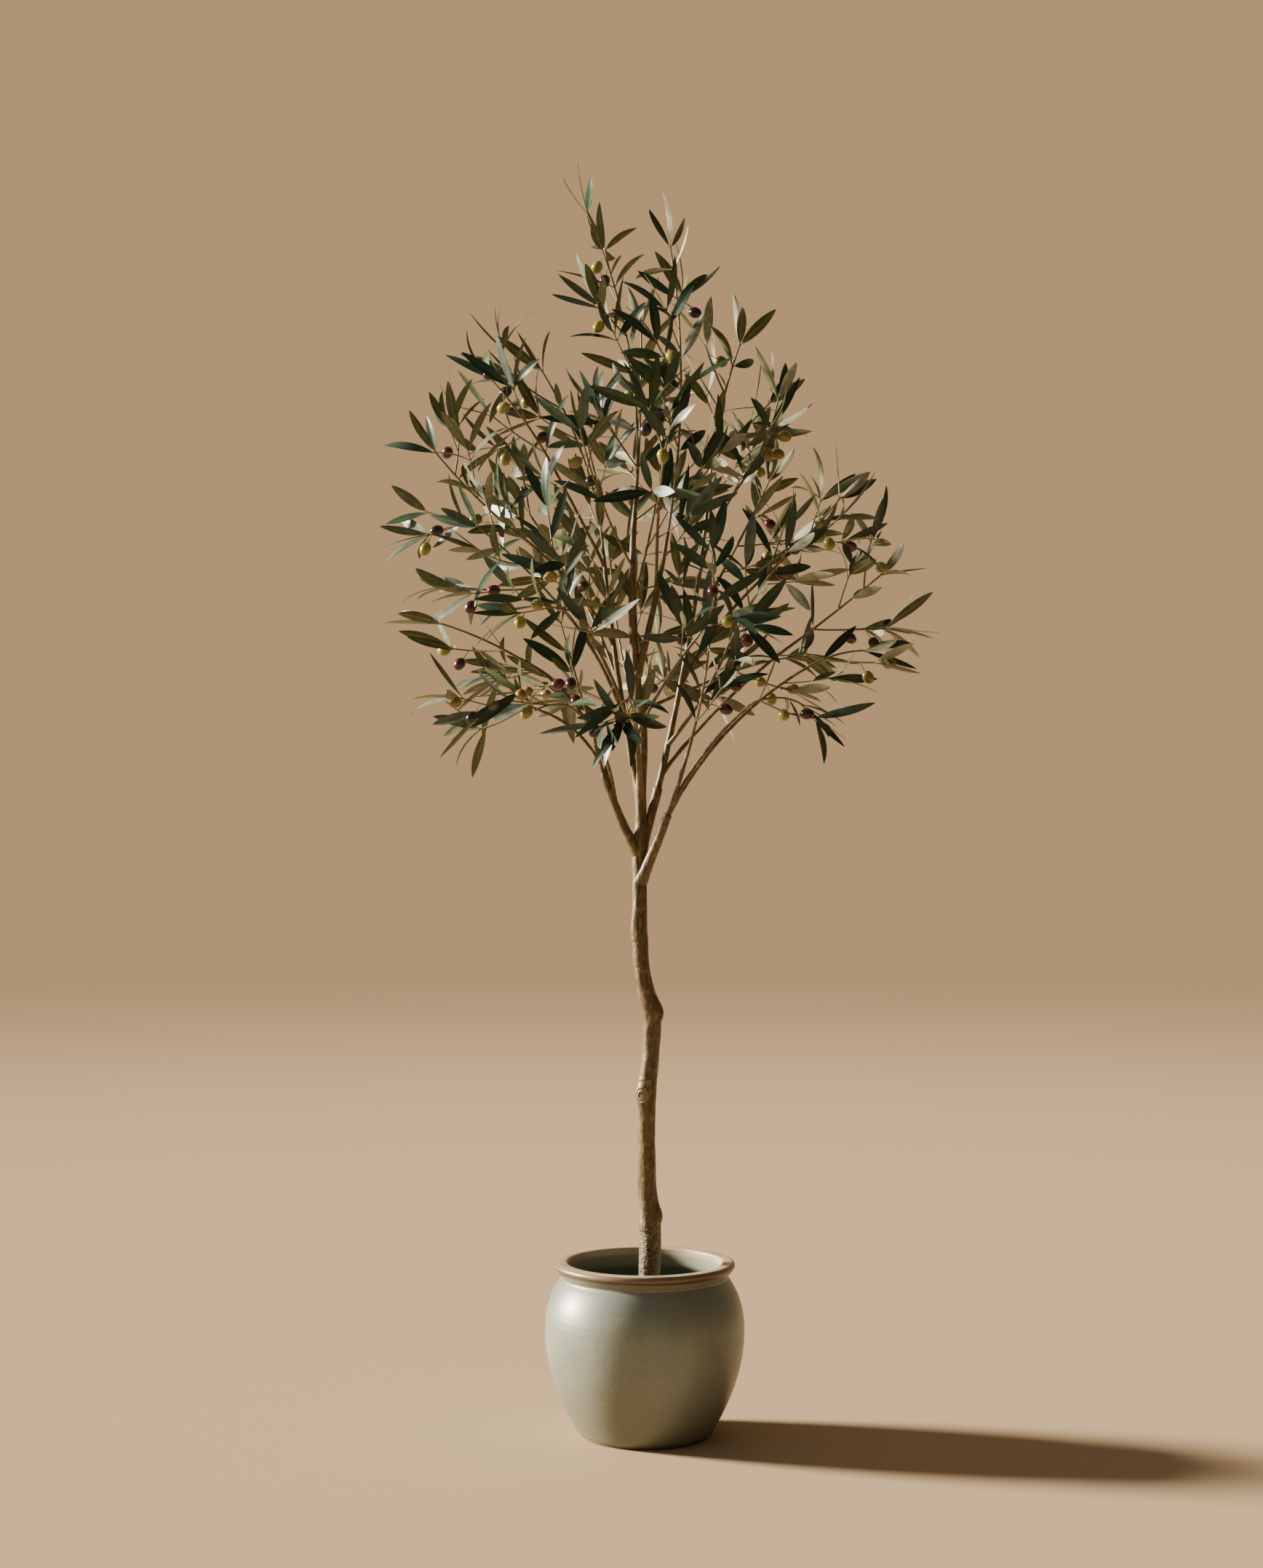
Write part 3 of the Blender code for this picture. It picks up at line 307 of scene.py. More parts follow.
class Wire:
    """A shader socket that arithmetic turns into Math nodes."""

    def __init__(self, nodes, socket):
        self.nodes = nodes
        self.socket = socket

    __add__ = __radd__ = maths("ADD")
    __sub__ = maths("SUBTRACT")
    __rsub__ = maths("SUBTRACT", reflected=True)
    __mul__ = __rmul__ = maths("MULTIPLY")
    __truediv__ = maths("DIVIDE")
    __rtruediv__ = maths("DIVIDE", reflected=True)
    __pow__ = maths("POWER")
    __rpow__ = maths("POWER", reflected=True)
    size = maths("ABSOLUTE")
    wave = maths("SINE")

    def ramp(self, low, high):
        """0 at low and 1 at high, smooth between them."""
        settings = {"interpolation_type": "SMOOTHSTEP"}
        return self.nodes.node("ShaderNodeMapRange", settings, [self, low, high])


class Nodes:
    """A node tree round one shader, whose constants are set on its own sockets."""

    def __init__(self, owner, shader, **constants):
        owner.use_nodes = True
        self.tree = owner.node_tree
        self.shader = self.tree.nodes[shader]
        for label, value in constants.items():
            self.shader.inputs[label.replace("_", " ")].default_value = value

    def node(self, kind, settings=None, values=(), output=0):
        """A node of a kind: its settings, then its socket values or links, by place or name."""
        made = self.tree.nodes.new(kind)
        for label, value in (settings or {}).items():
            setattr(made, label, value)
        pairs = values.items() if isinstance(values, dict) else enumerate(values)
        for key, value in pairs:
            if isinstance(value, Wire):
                self.tree.links.new(value.socket, made.inputs[key])
            else:
                made.inputs[key].default_value = value
        return Wire(self, made.outputs[output])

    def wear(self, **feeds):
        """Links wires to the shader's own sockets."""
        for label, wire in feeds.items():
            self.tree.links.new(wire.socket, self.shader.inputs[label.replace("_", " ")])

    def place(self, kind="Object"):
        return self.node("ShaderNodeTexCoord", output=kind)

    def axes(self, vector):
        split = self.node("ShaderNodeSeparateXYZ", values=[vector])
        return [Wire(self, output) for output in split.socket.node.outputs]

    def stretched(self, vector, factors):
        return self.node("ShaderNodeVectorMath", {"operation": "MULTIPLY"}, [vector, factors])

    def distance(self, vector, centre):
        settings = {"operation": "DISTANCE"}
        return self.node("ShaderNodeVectorMath", settings, [vector, centre], "Value")

    def noise(self, vector, scale, detail=3.0, roughness=0.5, distortion=0.0):
        values = {"Vector": vector, "Scale": scale, "Detail": detail,
                  "Roughness": roughness, "Distortion": distortion}
        return self.node("ShaderNodeTexNoise", values=values, output="Fac")

    def cells(self, vector, scale):
        values = {"Vector": vector, "Scale": scale}
        return self.node("ShaderNodeTexVoronoi", values=values, output="Distance")

    def between(self, mask, first, second):
        """A value that is first where the mask is 0 and second where it is 1."""
        return self.node("ShaderNodeMix", {"data_type": "FLOAT"}, {0: mask, 2: first, 3: second})

    def blend(self, mask, first, second):
        """A colour that is first where the mask is 0 and second where it is 1."""
        first, second = [c if isinstance(c, Wire) else (*c, 1.0) for c in (first, second)]
        return self.node("ShaderNodeMix", {"data_type": "RGBA"}, {0: mask, 6: first, 7: second}, 2)

    def layered(self, colour, *layers):
        """A colour with others laid over it in turn, each where its mask is 1."""
        for mask, over in layers:
            colour = self.blend(mask, colour, over)
        return colour

    def relief(self, height, depth):
        """A bump whose height wire spans 0 to 1 over a depth in metres."""
        values = {"Strength": 1.0, "Distance": depth, "Height": height}
        self.wear(Normal=self.node("ShaderNodeBump", values=values))


class Paint(Nodes):
    """A Principled material and the nodes that feed it."""

    def __init__(self, name, colour, roughness, **constants):
        self.material = bpy.data.materials.new(name)
        self.material.diffuse_color = (*colour, 1.0)
        super().__init__(self.material, "Principled BSDF", Base_Color=(*colour, 1.0),
                         Roughness=roughness, **constants)


def scaled(colour, factor):
    """A colour made lighter or darker by a factor."""
    return tuple(min(1.0, channel * factor) for channel in colour)


# ======== materials
def glaze_paint():
    """Celadon glaze: clouds and fine iron specks, a tan lip and a brown line below it, and painted
    shade that darkens it towards the foot.
    """
    paint = Paint("celadon_glaze", (0.26, 0.27, 0.225), 0.40, IOR=1.6, Coat_Weight=0.25,
                  Coat_Roughness=0.28)
    place = paint.place()
    x, y, height = paint.axes(place)
    radius = (x * x + y * y) ** 0.5
    cloud = paint.noise(place, 9.0, 4.0, 0.6)
    runs = paint.noise(paint.stretched(place, (1.0, 1.0, 0.22)), 30.0)
    blue = paint.noise(place, 5.3, 2.0).ramp(0.44, 0.66) * height.ramp(0.06, 0.19)
    band = (height - 0.208).size().ramp(0.022, 0.005)
    grain = paint.noise(place, 620.0, 2.0, 0.7)
    specks = paint.cells(place, 190.0)
    wobble = paint.noise(place, 70.0) - 0.5
    edge = height + wobble * 0.003
    outside = radius.ramp(MOUTH_RADIUS + 0.003, MOUTH_RADIUS + 0.006)
    inside = radius.ramp(MOUTH_RADIUS + 0.004, MOUTH_RADIUS + 0.001) * height.ramp(0.10, 0.12)
    under_lip = edge.ramp(NECK_HEIGHT - 0.007, NECK_HEIGHT + 0.004) * outside
    rim = edge.ramp(POT_HEIGHT - 0.0115, POT_HEIGHT - 0.0085)
    tan = paint.blend(cloud.ramp(0.4, 0.6), (0.36, 0.290, 0.195), (0.47, 0.395, 0.285))
    front = (radius + wobble * 0.002).ramp(LIP_RADIUS - 0.0042, LIP_RADIUS - 0.0016)
    rolled = front * edge.ramp(POT_HEIGHT - 0.0125, POT_HEIGHT - 0.0105)
    line = (edge - (POT_HEIGHT - 0.0100)).size().ramp(0.0034, 0.0010) * outside
    bare_foot = height.ramp(0.0060, 0.0020)
    body = paint.blend((cloud * 0.7 + runs * 0.3).ramp(0.28, 0.72), (0.146, 0.170, 0.133),
                       (0.222, 0.254, 0.208))
    body = paint.layered(
        body,
        (blue * 0.8, (0.150, 0.205, 0.210)),
        (band * 0.60, (0.130, 0.172, 0.172)),
        (grain.ramp(0.54, 0.66) * 0.34, (0.120, 0.120, 0.085)),
        (grain.ramp(0.46, 0.34) * 0.30, (0.42, 0.44, 0.39)),
        (specks.ramp(0.17, 0.07) * 0.50, (0.085, 0.060, 0.030)),
        # Painted shade: the glaze darkens towards the foot.
        (height.ramp(0.150, 0.020) * 0.65, (0.118, 0.112, 0.075)),
        (inside * 0.85, (0.27, 0.275, 0.225)),
        (under_lip * 0.65, (0.185, 0.150, 0.095)),
        (rim, tan),
        (rolled * 0.85, (0.100, 0.052, 0.022)),
        (line * 0.85, (0.060, 0.028, 0.011)),
        (bare_foot, (0.150, 0.080, 0.040)),
    )
    paint.wear(Base_Color=body, Roughness=0.38 + cloud * 0.10 + bare_foot * 0.30)
    throwing = paint.noise(paint.stretched(place, (0.02, 0.02, 1.0)), 90.0, 2.0)
    paint.relief(throwing * 0.45 + grain * 0.12 + cloud * 0.43, 0.0011)
    return paint.material


def soil_paint():
    """Dark crumbly fill with paler lumps."""
    paint = Paint("soil", (0.045, 0.032, 0.022), 0.95)
    place = paint.place()
    crumbs = paint.noise(place, 260.0, 5.0, 0.7)
    lumps = paint.noise(place, 60.0).ramp(0.55, 0.75)
    colour = paint.blend(crumbs.ramp(0.35, 0.7), (0.018, 0.012, 0.008), (0.085, 0.058, 0.036))
    colour = paint.blend(lumps * 0.5, colour, (0.12, 0.085, 0.055))
    paint.wear(Base_Color=colour, Roughness=0.85 + crumbs * 0.12)
    paint.relief(crumbs, 0.002)
    return paint.material


def bark_paint(name, light, dark, patch, grain_scale, depth):
    """Moulded bark: gold, softly grained lengthwise, rusty in patches and granular low down, with
    painted highlights on its crests and granules and painted shade in its creases and between its
    granules.
    """
    paint = Paint(name, light, 0.46)
    place = paint.place()

    def lengthwise(stretch, scale, *texture):
        return paint.noise(paint.stretched(place, (1.0, 1.0, stretch)), scale, *texture)

    grain = lengthwise(0.16, grain_scale, 4.0, 0.6, 0.2)
    crests = lengthwise(0.5, grain_scale * 0.55, 3.0, 0.6)
    mottle = lengthwise(0.4, 75.0, 3.0, 0.6)
    rust = lengthwise(0.4, 26.0, 3.0, 0.6)
    granules = paint.noise(place, 400.0, 2.0)
    low = paint.axes(place)[2].ramp(0.350, 0.270)
    # The raised crests, where the bark is glossier and a painted highlight is laid.
    lit = crests.ramp(0.50, 0.68)
    # The painted highlight's tone: the bark's light tone made brighter.
    painted_highlight_tone = scaled(light, 2.8)
    scar = paint.distance(paint.stretched(place, SCAR_ROUND), SCAR_CENTRE)
    scar = scar + (mottle - 0.5) * 0.006
    cut = scar.ramp(SCAR_REACH, SCAR_REACH * 0.88)
    rings = (scar * (math.tau / SCAR_RING)).wave() * 0.5 + 0.5
    colour = paint.layered(
        light,
        (mottle.ramp(0.40, 0.66) * 0.65, patch),
        (rust.ramp(0.52, 0.66) * 0.45, patch),
        # Dark grain in the low creases of the relief: partly grain, partly painted shade.
        (grain.ramp(0.51, 0.34) * 0.72, dark),
        # Painted highlight on the raised crests.
        (lit * 0.50, painted_highlight_tone),
        # Low down, painted shade between the granules and painted highlights on their tops.
        (low * granules.ramp(0.50, 0.38) * 0.75, dark),
        (low * granules.ramp(0.54, 0.66) * 0.65, painted_highlight_tone),
        # The scar's rings follow its relief: cream on the raised rings and the patch tone in the
        # grooves, partly ring colour, partly painted highlight and shade.
        (cut * 0.85, paint.blend(rings, patch, SCAR_CREAM)),
    )
    paint.wear(Base_Color=colour, Roughness=0.46 - lit * 0.16)
    skin = grain * 0.20 + crests * 0.40 + low * granules * 0.8
    paint.relief(paint.between(cut, skin, rings * 0.35), depth)
    return paint.material


# Each bark's name, its light tone, its dark tone for the grain and the painted shade in its creases
# and between its granules, its patch tone, the grain's scale and the bump's depth.
TRUNK_BARK = ("trunk_bark", (0.128, 0.088, 0.031), (0.018, 0.010, 0.004), (0.070, 0.043, 0.015),
              330.0, 0.0022)
TWIG_BARK = ("twig_bark", (0.150, 0.118, 0.048), (0.062, 0.045, 0.018), (0.088, 0.088, 0.032),
             420.0, 0.0005)


def leaf_paint(name, colour, roughness):
    """A smooth moulded leaf with a faint mottle."""
    paint = Paint(name, colour, roughness, IOR=1.45)
    mottle = paint.noise(paint.place(), 70.0, 2.0)
    shade = paint.blend(mottle.ramp(0.35, 0.65), scaled(colour, 0.84), scaled(colour, 1.17))
    paint.wear(Base_Color=shade, Roughness=roughness - 0.06 + mottle * 0.12)
    return paint.material


def olive_paint(name, colour, blush):
    """A glossy olive, blushed on one side, with pale lenticels."""
    paint = Paint(name, colour, 0.24, IOR=1.46, Coat_Weight=0.4, Coat_Roughness=0.08)
    place = paint.place()
    patch = paint.noise(place, 75.0, 2.0)
    dots = paint.cells(place, 620.0).ramp(0.20, 0.08)
    pale = tuple(channel * 1.5 + 0.03 for channel in colour)
    shade = paint.layered(colour, (patch.ramp(0.42, 0.62), blush), (dots * 0.35, pale))
    paint.wear(Base_Color=shade, Roughness=0.20 + patch * 0.10)
    return paint.material


# ======== meshes
class Pile:
    """Collects shapes into one mesh, with a material for each face."""

    def __init__(self):
        self.points = []
        self.faces = []
        self.materials = []
        self.count = 0

    def add(self, points, faces, material=0):
        """Adds a shape, with one material's number or a list of them, one for each face."""
        base = self.count
        self.points.append(np.asarray(points, float).reshape(-1, 3))
        self.count += len(self.points[-1])
        self.faces += [tuple(base + i for i in face) for face in faces]
        self.materials += [material] * len(faces) if isinstance(material, int) else material

    def build(self, name, materials, slot, replaced=(), sharp=50):
        mesh = bpy.data.meshes.new(name)
        mesh.from_pydata(np.concatenate(self.points).tolist(), [], self.faces)
        for material in materials:
            mesh.materials.append(material)
        mesh.polygons.foreach_set("material_index", self.materials)
        mesh.shade_smooth()
        mesh.set_sharp_from_angle(angle=math.radians(sharp))
        obj = shown(name, mesh)
        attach(obj, "root")
        if replaced:
            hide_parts(*replaced)


def shown(name, data):
    """A new object in the scene."""
    obj = bpy.data.objects.new(name, data)
    bpy.context.scene.collection.objects.link(obj)
    return obj


def grid_faces(rows, columns):
    """Quads between rings of points."""
    return [
        (r * columns + c, r * columns + (c + 1) % columns,
         (r + 1) * columns + (c + 1) % columns, (r + 1) * columns + c)
        for r in range(rows - 1)
        for c in range(columns)
    ]


def lathed(profile, sides):
    """The points and faces of a shape turned round Z from (radius, height) pairs."""
    turns = [math.tau * i / sides for i in range(sides)]
    points = [(r * math.cos(turn), r * math.sin(turn), h) for r, h in profile for turn in turns]
    return points, grid_faces(len(profile), sides)


def ring_frames(route, leaving=None):
    """Two directions across a route at each of its points, with no twist between them."""
    frames = []
    across = None
    for i in range(len(route)):
        ahead = route[min(i + 1, len(route) - 1)] - route[max(i - 1, 0)]
        ahead.normalize()
        if i == 0 and leaving:
            ahead = leaving
        if across is None:
            across = ahead.orthogonal().normalized()
        else:
            across = (across - ahead * across.dot(ahead)).normalized()
        frames.append((across, ahead.cross(across)))
    return frames


def tube(route, radii, sides, leaving=None):
    """The points and faces of a closed tube along a route."""
    points = []
    for point, radius, (across, side) in zip(route, radii, ring_frames(route, leaving)):
        for i in range(sides):
            angle = math.tau * i / sides
            points.append(point + (across * math.cos(angle) + side * math.sin(angle)) * radius)
    last = (len(route) - 1) * sides
    ends = [tuple(reversed(range(sides))), tuple(range(last, last + sides))]
    return points, grid_faces(len(route), sides) + ends


# ======== routes
class Route:
    """A curve with a radius at each point, which limbs, stems and twigs follow."""

    def __init__(self, points, radii, leaving=None):
        self.points = points
        self.radii = radii
        self.leaving = leaving
        self.marks = [0.0]
        for start, end in zip(points, points[1:]):
            self.marks.append(self.marks[-1] + (end - start).length)
        self.length = self.marks[-1]

    def at(self, share):
        """The point, direction and radius at a share of the length."""
        goal = min(max(share, 0.0), 1.0) * self.length
        i = max(k for k in range(len(self.marks) - 1) if self.marks[k] <= goal)
        t = (goal - self.marks[i]) / (self.marks[i + 1] - self.marks[i])
        start, end = self.points[i], self.points[i + 1]
        radius = self.radii[i] + (self.radii[i + 1] - self.radii[i]) * t
        return start.lerp(end, t), (end - start).normalized(), radius

    def solid(self, fatter_by=0.0, first_point=0, sides=3):
        radii = [radius + fatter_by for radius in self.radii]
        leaving = None if first_point else self.leaving
        return tube(self.points[first_point:], radii[first_point:], sides, leaving)


def heading_and_rise(heading, rise):
    flat = Vector((math.cos(heading), math.sin(heading), 0.0))
    return flat * math.cos(rise) + Vector((0, 0, math.sin(rise)))


def bow(start, leaving, end, arriving, pitch):
    """Points of an even arc between two points, with a direction at either."""
    reach = (end - start).length
    pull = reach / 3
    steps = max(3, round(reach / pitch) + 1)
    return interpolate_bezier(start, start + leaving * pull, end - arriving * pull, end, steps)


def smooth_between(bends, height, field):
    """A field of the bends at a height, on a smooth curve through them."""
    last = len(bends) - 1
    i = max(i for i in range(last) if bends[i].height <= height or i == 0)
    marks = [bends[min(max(k, 0), last)].height for k in range(i - 1, i + 3)]
    values = [getattr(bends[min(max(k, 0), last)], field) for k in range(i - 1, i + 3)]
    span = marks[2] - marks[1]
    t = (height - marks[1]) / span
    low_slope = (values[2] - values[0]) / (marks[2] - marks[0]) * span
    high_slope = (values[3] - values[1]) / (marks[3] - marks[1]) * span
    return (
        (2 * t**3 - 3 * t**2 + 1) * values[1]
        + (t**3 - 2 * t**2 + t) * low_slope
        + (3 * t**2 - 2 * t**3) * values[2]
        + (t**3 - t**2) * high_slope
    )


def trunk_axis(height):
    sway = TRUNK_SWAY * math.sin(math.tau * (height - TRUNK_FOOT) / TRUNK_SWAY_PITCH)
    return Vector((smooth_between(TRUNK_BENDS, height, "right"), sway, height))


def trunk_heights(pitch):
    """Even heights up the trunk."""
    foot, top = TRUNK_BENDS[0].height, TRUNK_BENDS[-1].height
    steps = round((top - foot) / pitch)
    return [foot + (top - foot) * i / steps for i in range(steps + 1)]


def trunk_route(heights):
    radii = [smooth_between(TRUNK_BENDS, h, "radius") for h in heights]
    return Route([trunk_axis(h) for h in heights], radii)


def coarse_trunk_heights():
    """The heights of the trunk's own rings, which say where its limbs leave it."""
    heights = set(trunk_heights(TRUNK_RING_PITCH))
    for knob in TRUNK_KNOBS:
        heights = {h for h in heights if abs(h - knob.height) >= knob.half_length * 1.5}
        heights |= {knob.height + knob.half_length * k for k in (-1.2, -0.4, 0.4, 1.2)}
    return sorted(heights)


def trunk_share(route, height):
    """How far along the trunk's route a height is."""
    heights = [point.z for point in route.points]
    i = max(k for k in range(len(heights) - 1) if heights[k] <= height)
    t = (height - heights[i]) / (heights[i + 1] - heights[i])
    return (route.marks[i] + (route.marks[i + 1] - route.marks[i]) * t) / route.length


def limb_route(limb, parent, pitch):
    """A limb's arc: it leaves its parent as far below its chord's slope as it ends above it."""
    share = limb.leaves_at
    if limb.parent == "trunk":
        share = trunk_share(parent, share)
    start, _, parent_radius = parent.at(share)
    end = Vector(limb.tip)
    chord = end - start
    heading = math.atan2(chord.y, chord.x)
    slope = math.atan2(chord.z, math.hypot(chord.x, chord.y))
    rise = math.radians(limb.rise)
    leaving = heading_and_rise(heading, 2 * slope - rise)
    points = bow(start, leaving, end, heading_and_rise(heading, rise), pitch)
    bare = Route(points, [0.0] * len(points))
    radii = []
    for mark in bare.marks:
        taper = limb.base_radius + (limb.tip_radius - limb.base_radius) * mark / bare.length
        past_parent = max(mark - parent_radius, 0.0)
        radii.append(taper * (1 + COLLAR_SWELL * math.exp(-past_parent / COLLAR_LENGTH)))
    radii[0] = min(radii[0], SUNK_BASE * parent_radius)
    return Route(points, radii)


def limb_routes():
    """Every limb's coarse route, which the next limb leaves, and its fine one, which is seen."""
    coarse = {"trunk": trunk_route(coarse_trunk_heights())}
    fine = {"trunk": trunk_route(trunk_heights(TRUNK_RING))}
    for limb in LIMBS:
        pitch = BOUGH_RING_PITCH if limb in BOUGHS else BRANCH_RING_PITCH
        coarse[limb.name] = limb_route(limb, coarse[limb.parent], pitch)
        fine[limb.name] = limb_route(limb, coarse[limb.parent], LIMB_RING)
    return coarse, fine


def tapered(points, radii, leaving=None):
    count = len(points) - 1
    low, high = radii
    return Route(points, [low + (high - low) * i / count for i in range(count + 1)], leaving)


def stem_route(spray, limb, pitch):
    """A spray's stem, which carries its limb's tip on in one even arc to the spray's tip."""
    start, onward, _ = limb.at(spray.leaves_at)
    end = Vector(spray.tip)
    chord = (end - start).normalized()
    if spray.leaves_at < 1.0:
        outward = Vector((chord.x, chord.y, 0.0)).normalized()
        onward = (chord + outward * 0.4).normalized()
    else:
        start = start + onward * GAP
    arriving = chord * (2 * onward.dot(chord)) - onward
    return tapered(bow(start, onward, end, arriving, pitch), STEM_RADIUS, onward)


# ======== the rule of growth
Twig = namedtuple("Twig", "key coarse fine leaf_pitch forks", defaults=(False,))
Habit = namedtuple("Habit", "lean lift reach")
SIDE_TWIG_HABIT = Habit((0.8, 1.2), (-0.1, 0.25), (0.8, 1.15))
TWIGLET_HABIT = Habit((0.7, 1.1), (-0.1, 0.3), (0.8, 1.2))


def turned(along, degrees):
    """A direction square to a twig, turned round it."""
    level = along.cross(Vector((0, 0, 1)))
    if level.length < 0.05:
        level = along.cross(Vector((0, 1, 0)))
    level.normalize()
    return Matrix.Rotation(math.radians(degrees), 3, along) @ level


def offshoot(key, habit, point, along, outward, length):
    """How a twig leaves its parent at TWIG_ANGLE, where it ends and how it lifts to there."""
    rng = random.Random(key)
    lean = TWIG_ANGLE * rng.uniform(*habit.lean)
    leaving = (along * math.cos(lean) + outward * math.sin(lean)).normalized()
    lift = Vector((0, 0, rng.uniform(*habit.lift)))
    arriving = (leaving + along * 0.3 + lift).normalized()
    reach = length * rng.uniform(*habit.reach)
    return leaving, point + (leaving + arriving).normalized() * reach, arriving


def fork_spots(stem, first):
    """The pairs of a stem at which it forks, from the first on, and their shares of it."""
    last = int((stem.length * LAST_FORK - FIRST_PAIR) / STEM_PITCH)
    pairs = range(first, last + 1, PAIRS_PER_FORK)
    return [(pair, (FIRST_PAIR + pair * STEM_PITCH) / stem.length) for pair in pairs]


def twig_choices(spray, stem):
    """For each fork of a spray's stem, its side twig and the ways it may turn aside."""
    start = random.Random(spray.name).uniform(0, 90)
    for pair, share in fork_spots(stem.coarse, 0):
        key = f"{spray.name} twig {pair}"
        point, along, _ = stem.coarse.at(share)
        fine_point, _, _ = stem.fine.at(share)
        length = spray.spread * (REACH_AT_FOOT - REACH_LOST * share)
        choices = []
        for aside in TURNS_ASIDE:
            outward = turned(along, start + PAIR_TURN * pair + aside)
            path = offshoot(key, SIDE_TWIG_HABIT, point, along, outward, length)
            coarse = tapered(bow(point, *path, BOW_PITCH), TWIG_RADIUS)
            fine = tapered(bow(fine_point, *path, TWIG_RING), TWIG_RADIUS)
            choices.append(Twig(key, coarse, fine, FINE_TWIG_PITCH))
        yield choices


class Territory:
    """The space that each spray keeps to: what is nearer to its stem than to any other's."""

    def __init__(self, stems):
        samples = []
        for name, stem in stems.items():
            steps = max(2, round(stem.coarse.length / TERRITORY_PITCH))
            samples += [(stem.coarse.at(i / steps)[0], name) for i in range(steps + 1)]
        self.names = [name for _, name in samples]
        self.tree = KDTree(len(samples))
        for i, (point, _) in enumerate(samples):
            self.tree.insert(point, i)
        self.tree.balance()

    def holds(self, name, points):
        for point in points:
            near = self.tree.find_n(point, TERRITORY_NEIGHBOURS)
            nearest = near[0][2]
            rivals = [distance for _, i, distance in near if self.names[i] != name]
            if rivals and min(rivals) < nearest + TERRITORY_MARGIN:
                return False
        return True


def limb_trees():
    """The solid trunk and limbs, which no twig may touch."""
    meshes = [frame["nodes"][name].data for name in ["trunk", *LIMB_NAMES]]
    return [
        BVHTree.FromPolygons([v.co for v in mesh.vertices], [p.vertices for p in mesh.polygons])
        for mesh in meshes
    ]


def select_twigs(stems):
    """Each spray's twigs: its stem, and the side twigs that keep to its space."""
    territory = Territory(stems)
    limbs = limb_trees()
    trees = {name: [BVHTree.FromPolygons(*s.coarse.solid(GAP))] for name, s in stems.items()}
    twigs = {}
    for spray in SPRAYS:
        name = spray.name
        kept = [stems[name]]
        for choices in twig_choices(spray, stems[name]):
            for twig in choices:
                tree = BVHTree.FromPolygons(*twig.coarse.solid(GAP, first_point=1))
                others = [other for grown in trees.values() for other in grown]
                blocked = any(tree.overlap(other) for other in limbs + others)
                if territory.holds(name, twig.coarse.points) and not blocked:
                    kept.append(twig)
                    trees[name].append(tree)
                    break
        twigs[name] = kept
    return twigs


class Crowd:
    """Points that are already taken, each with a space round it."""

    def __init__(self):
        self.centres = np.zeros((0, 3))
        self.spaces = np.zeros(0)

    def take(self, points, space):
        self.centres = np.concatenate([self.centres, np.array(points, float).reshape(-1, 3)])
        self.spaces = np.concatenate([self.spaces, np.full(len(points), float(space))])

    def free(self, points):
        for point in points:
            away = np.linalg.norm(self.centres - np.array(point, float), axis=1)
            if np.any(away < self.spaces):
                return False
        return True


# ======== leaves
Leaf = namedtuple("Leaf", "base along face length width bend twist fold")
LEAF_ROWS = (0.0, 0.035, 0.075, 0.13, 0.20, 0.30, 0.42, 0.55, 0.68, 0.80, 0.90, 0.965, 1.0)
LEAF_COLUMNS = (-1.0, -0.55, 0.0, 0.0, 0.55, 1.0)
LEAF_RING = (0, 1, 2, 3, 4, 5, 7, 6)
SPACED_ROWS = (5, 7, 9, 11)
PETIOLE = 0.075
PETIOLE_WIDTH = 0.0006
LEAF_THICKNESS = 0.00045
RIB = 0.00045


def leaf_half_width(t, width):
    """The outline: a narrow stalk, then a lance-shaped blade that runs to a fine point."""
    if t <= PETIOLE:
        return PETIOLE_WIDTH
    u = (t - PETIOLE) / (1 - PETIOLE)
    blade = math.sin(math.pi * u**0.95) ** (0.66 + 0.08 * u) if u < 1 else 0.0
    return max(width / 2 * blade, PETIOLE_WIDTH * (1 - u) + 0.0001)


def leaf_from(key, base, twig_along, turn, angle, share):
    """A leaf that leaves its twig at an angle, its upper face turned out of the crown."""
    rng = random.Random(key)
    outward = turned(twig_along, turn)
    lean = angle * rng.uniform(*LEAF_LEANS)
    along = (twig_along * math.cos(lean) + outward * math.sin(lean)).normalized()
    along = (along + Vector((0, 0, rng.uniform(*LEAF_LIFTS)))).normalized()
    abroad = Vector((base.x, base.y, 0.0)).normalized()
    face = abroad * 0.8 + Vector((0, 0, 0.35)) + twig_along * 0.3
    face += along.cross(face) * rng.uniform(*LEAF_ROLLS)
    face = (face - along * face.dot(along)).normalized()
    length = LEAF_LENGTH * share * rng.uniform(*LEAF_LENGTHS)
    width = LEAF_WIDTH * rng.uniform(*LEAF_WIDTHS)
    shape = [rng.uniform(*span) for span in (LEAF_BENDS, LEAF_TWISTS, LEAF_FOLDS)]
    return Leaf(base, along, face, length, width, *shape)


def leaf_spine(leaf):
    """The middle line of a leaf, with its side and upward directions at each row."""
    side = leaf.along.cross(leaf.face).normalized()
    point = leaf.base.copy()
    spine = []
    past = 0.0
    for t in LEAF_ROWS:
        turn = Matrix.Rotation(-leaf.bend * t * t, 3, side)
        along = turn @ leaf.along
        point = point + along * leaf.length * (t - past)
        past = t
        roll = Matrix.Rotation(leaf.twist * t, 3, along)
        spine.append((point, roll @ side, roll @ (turn @ leaf.face)))
    return spine


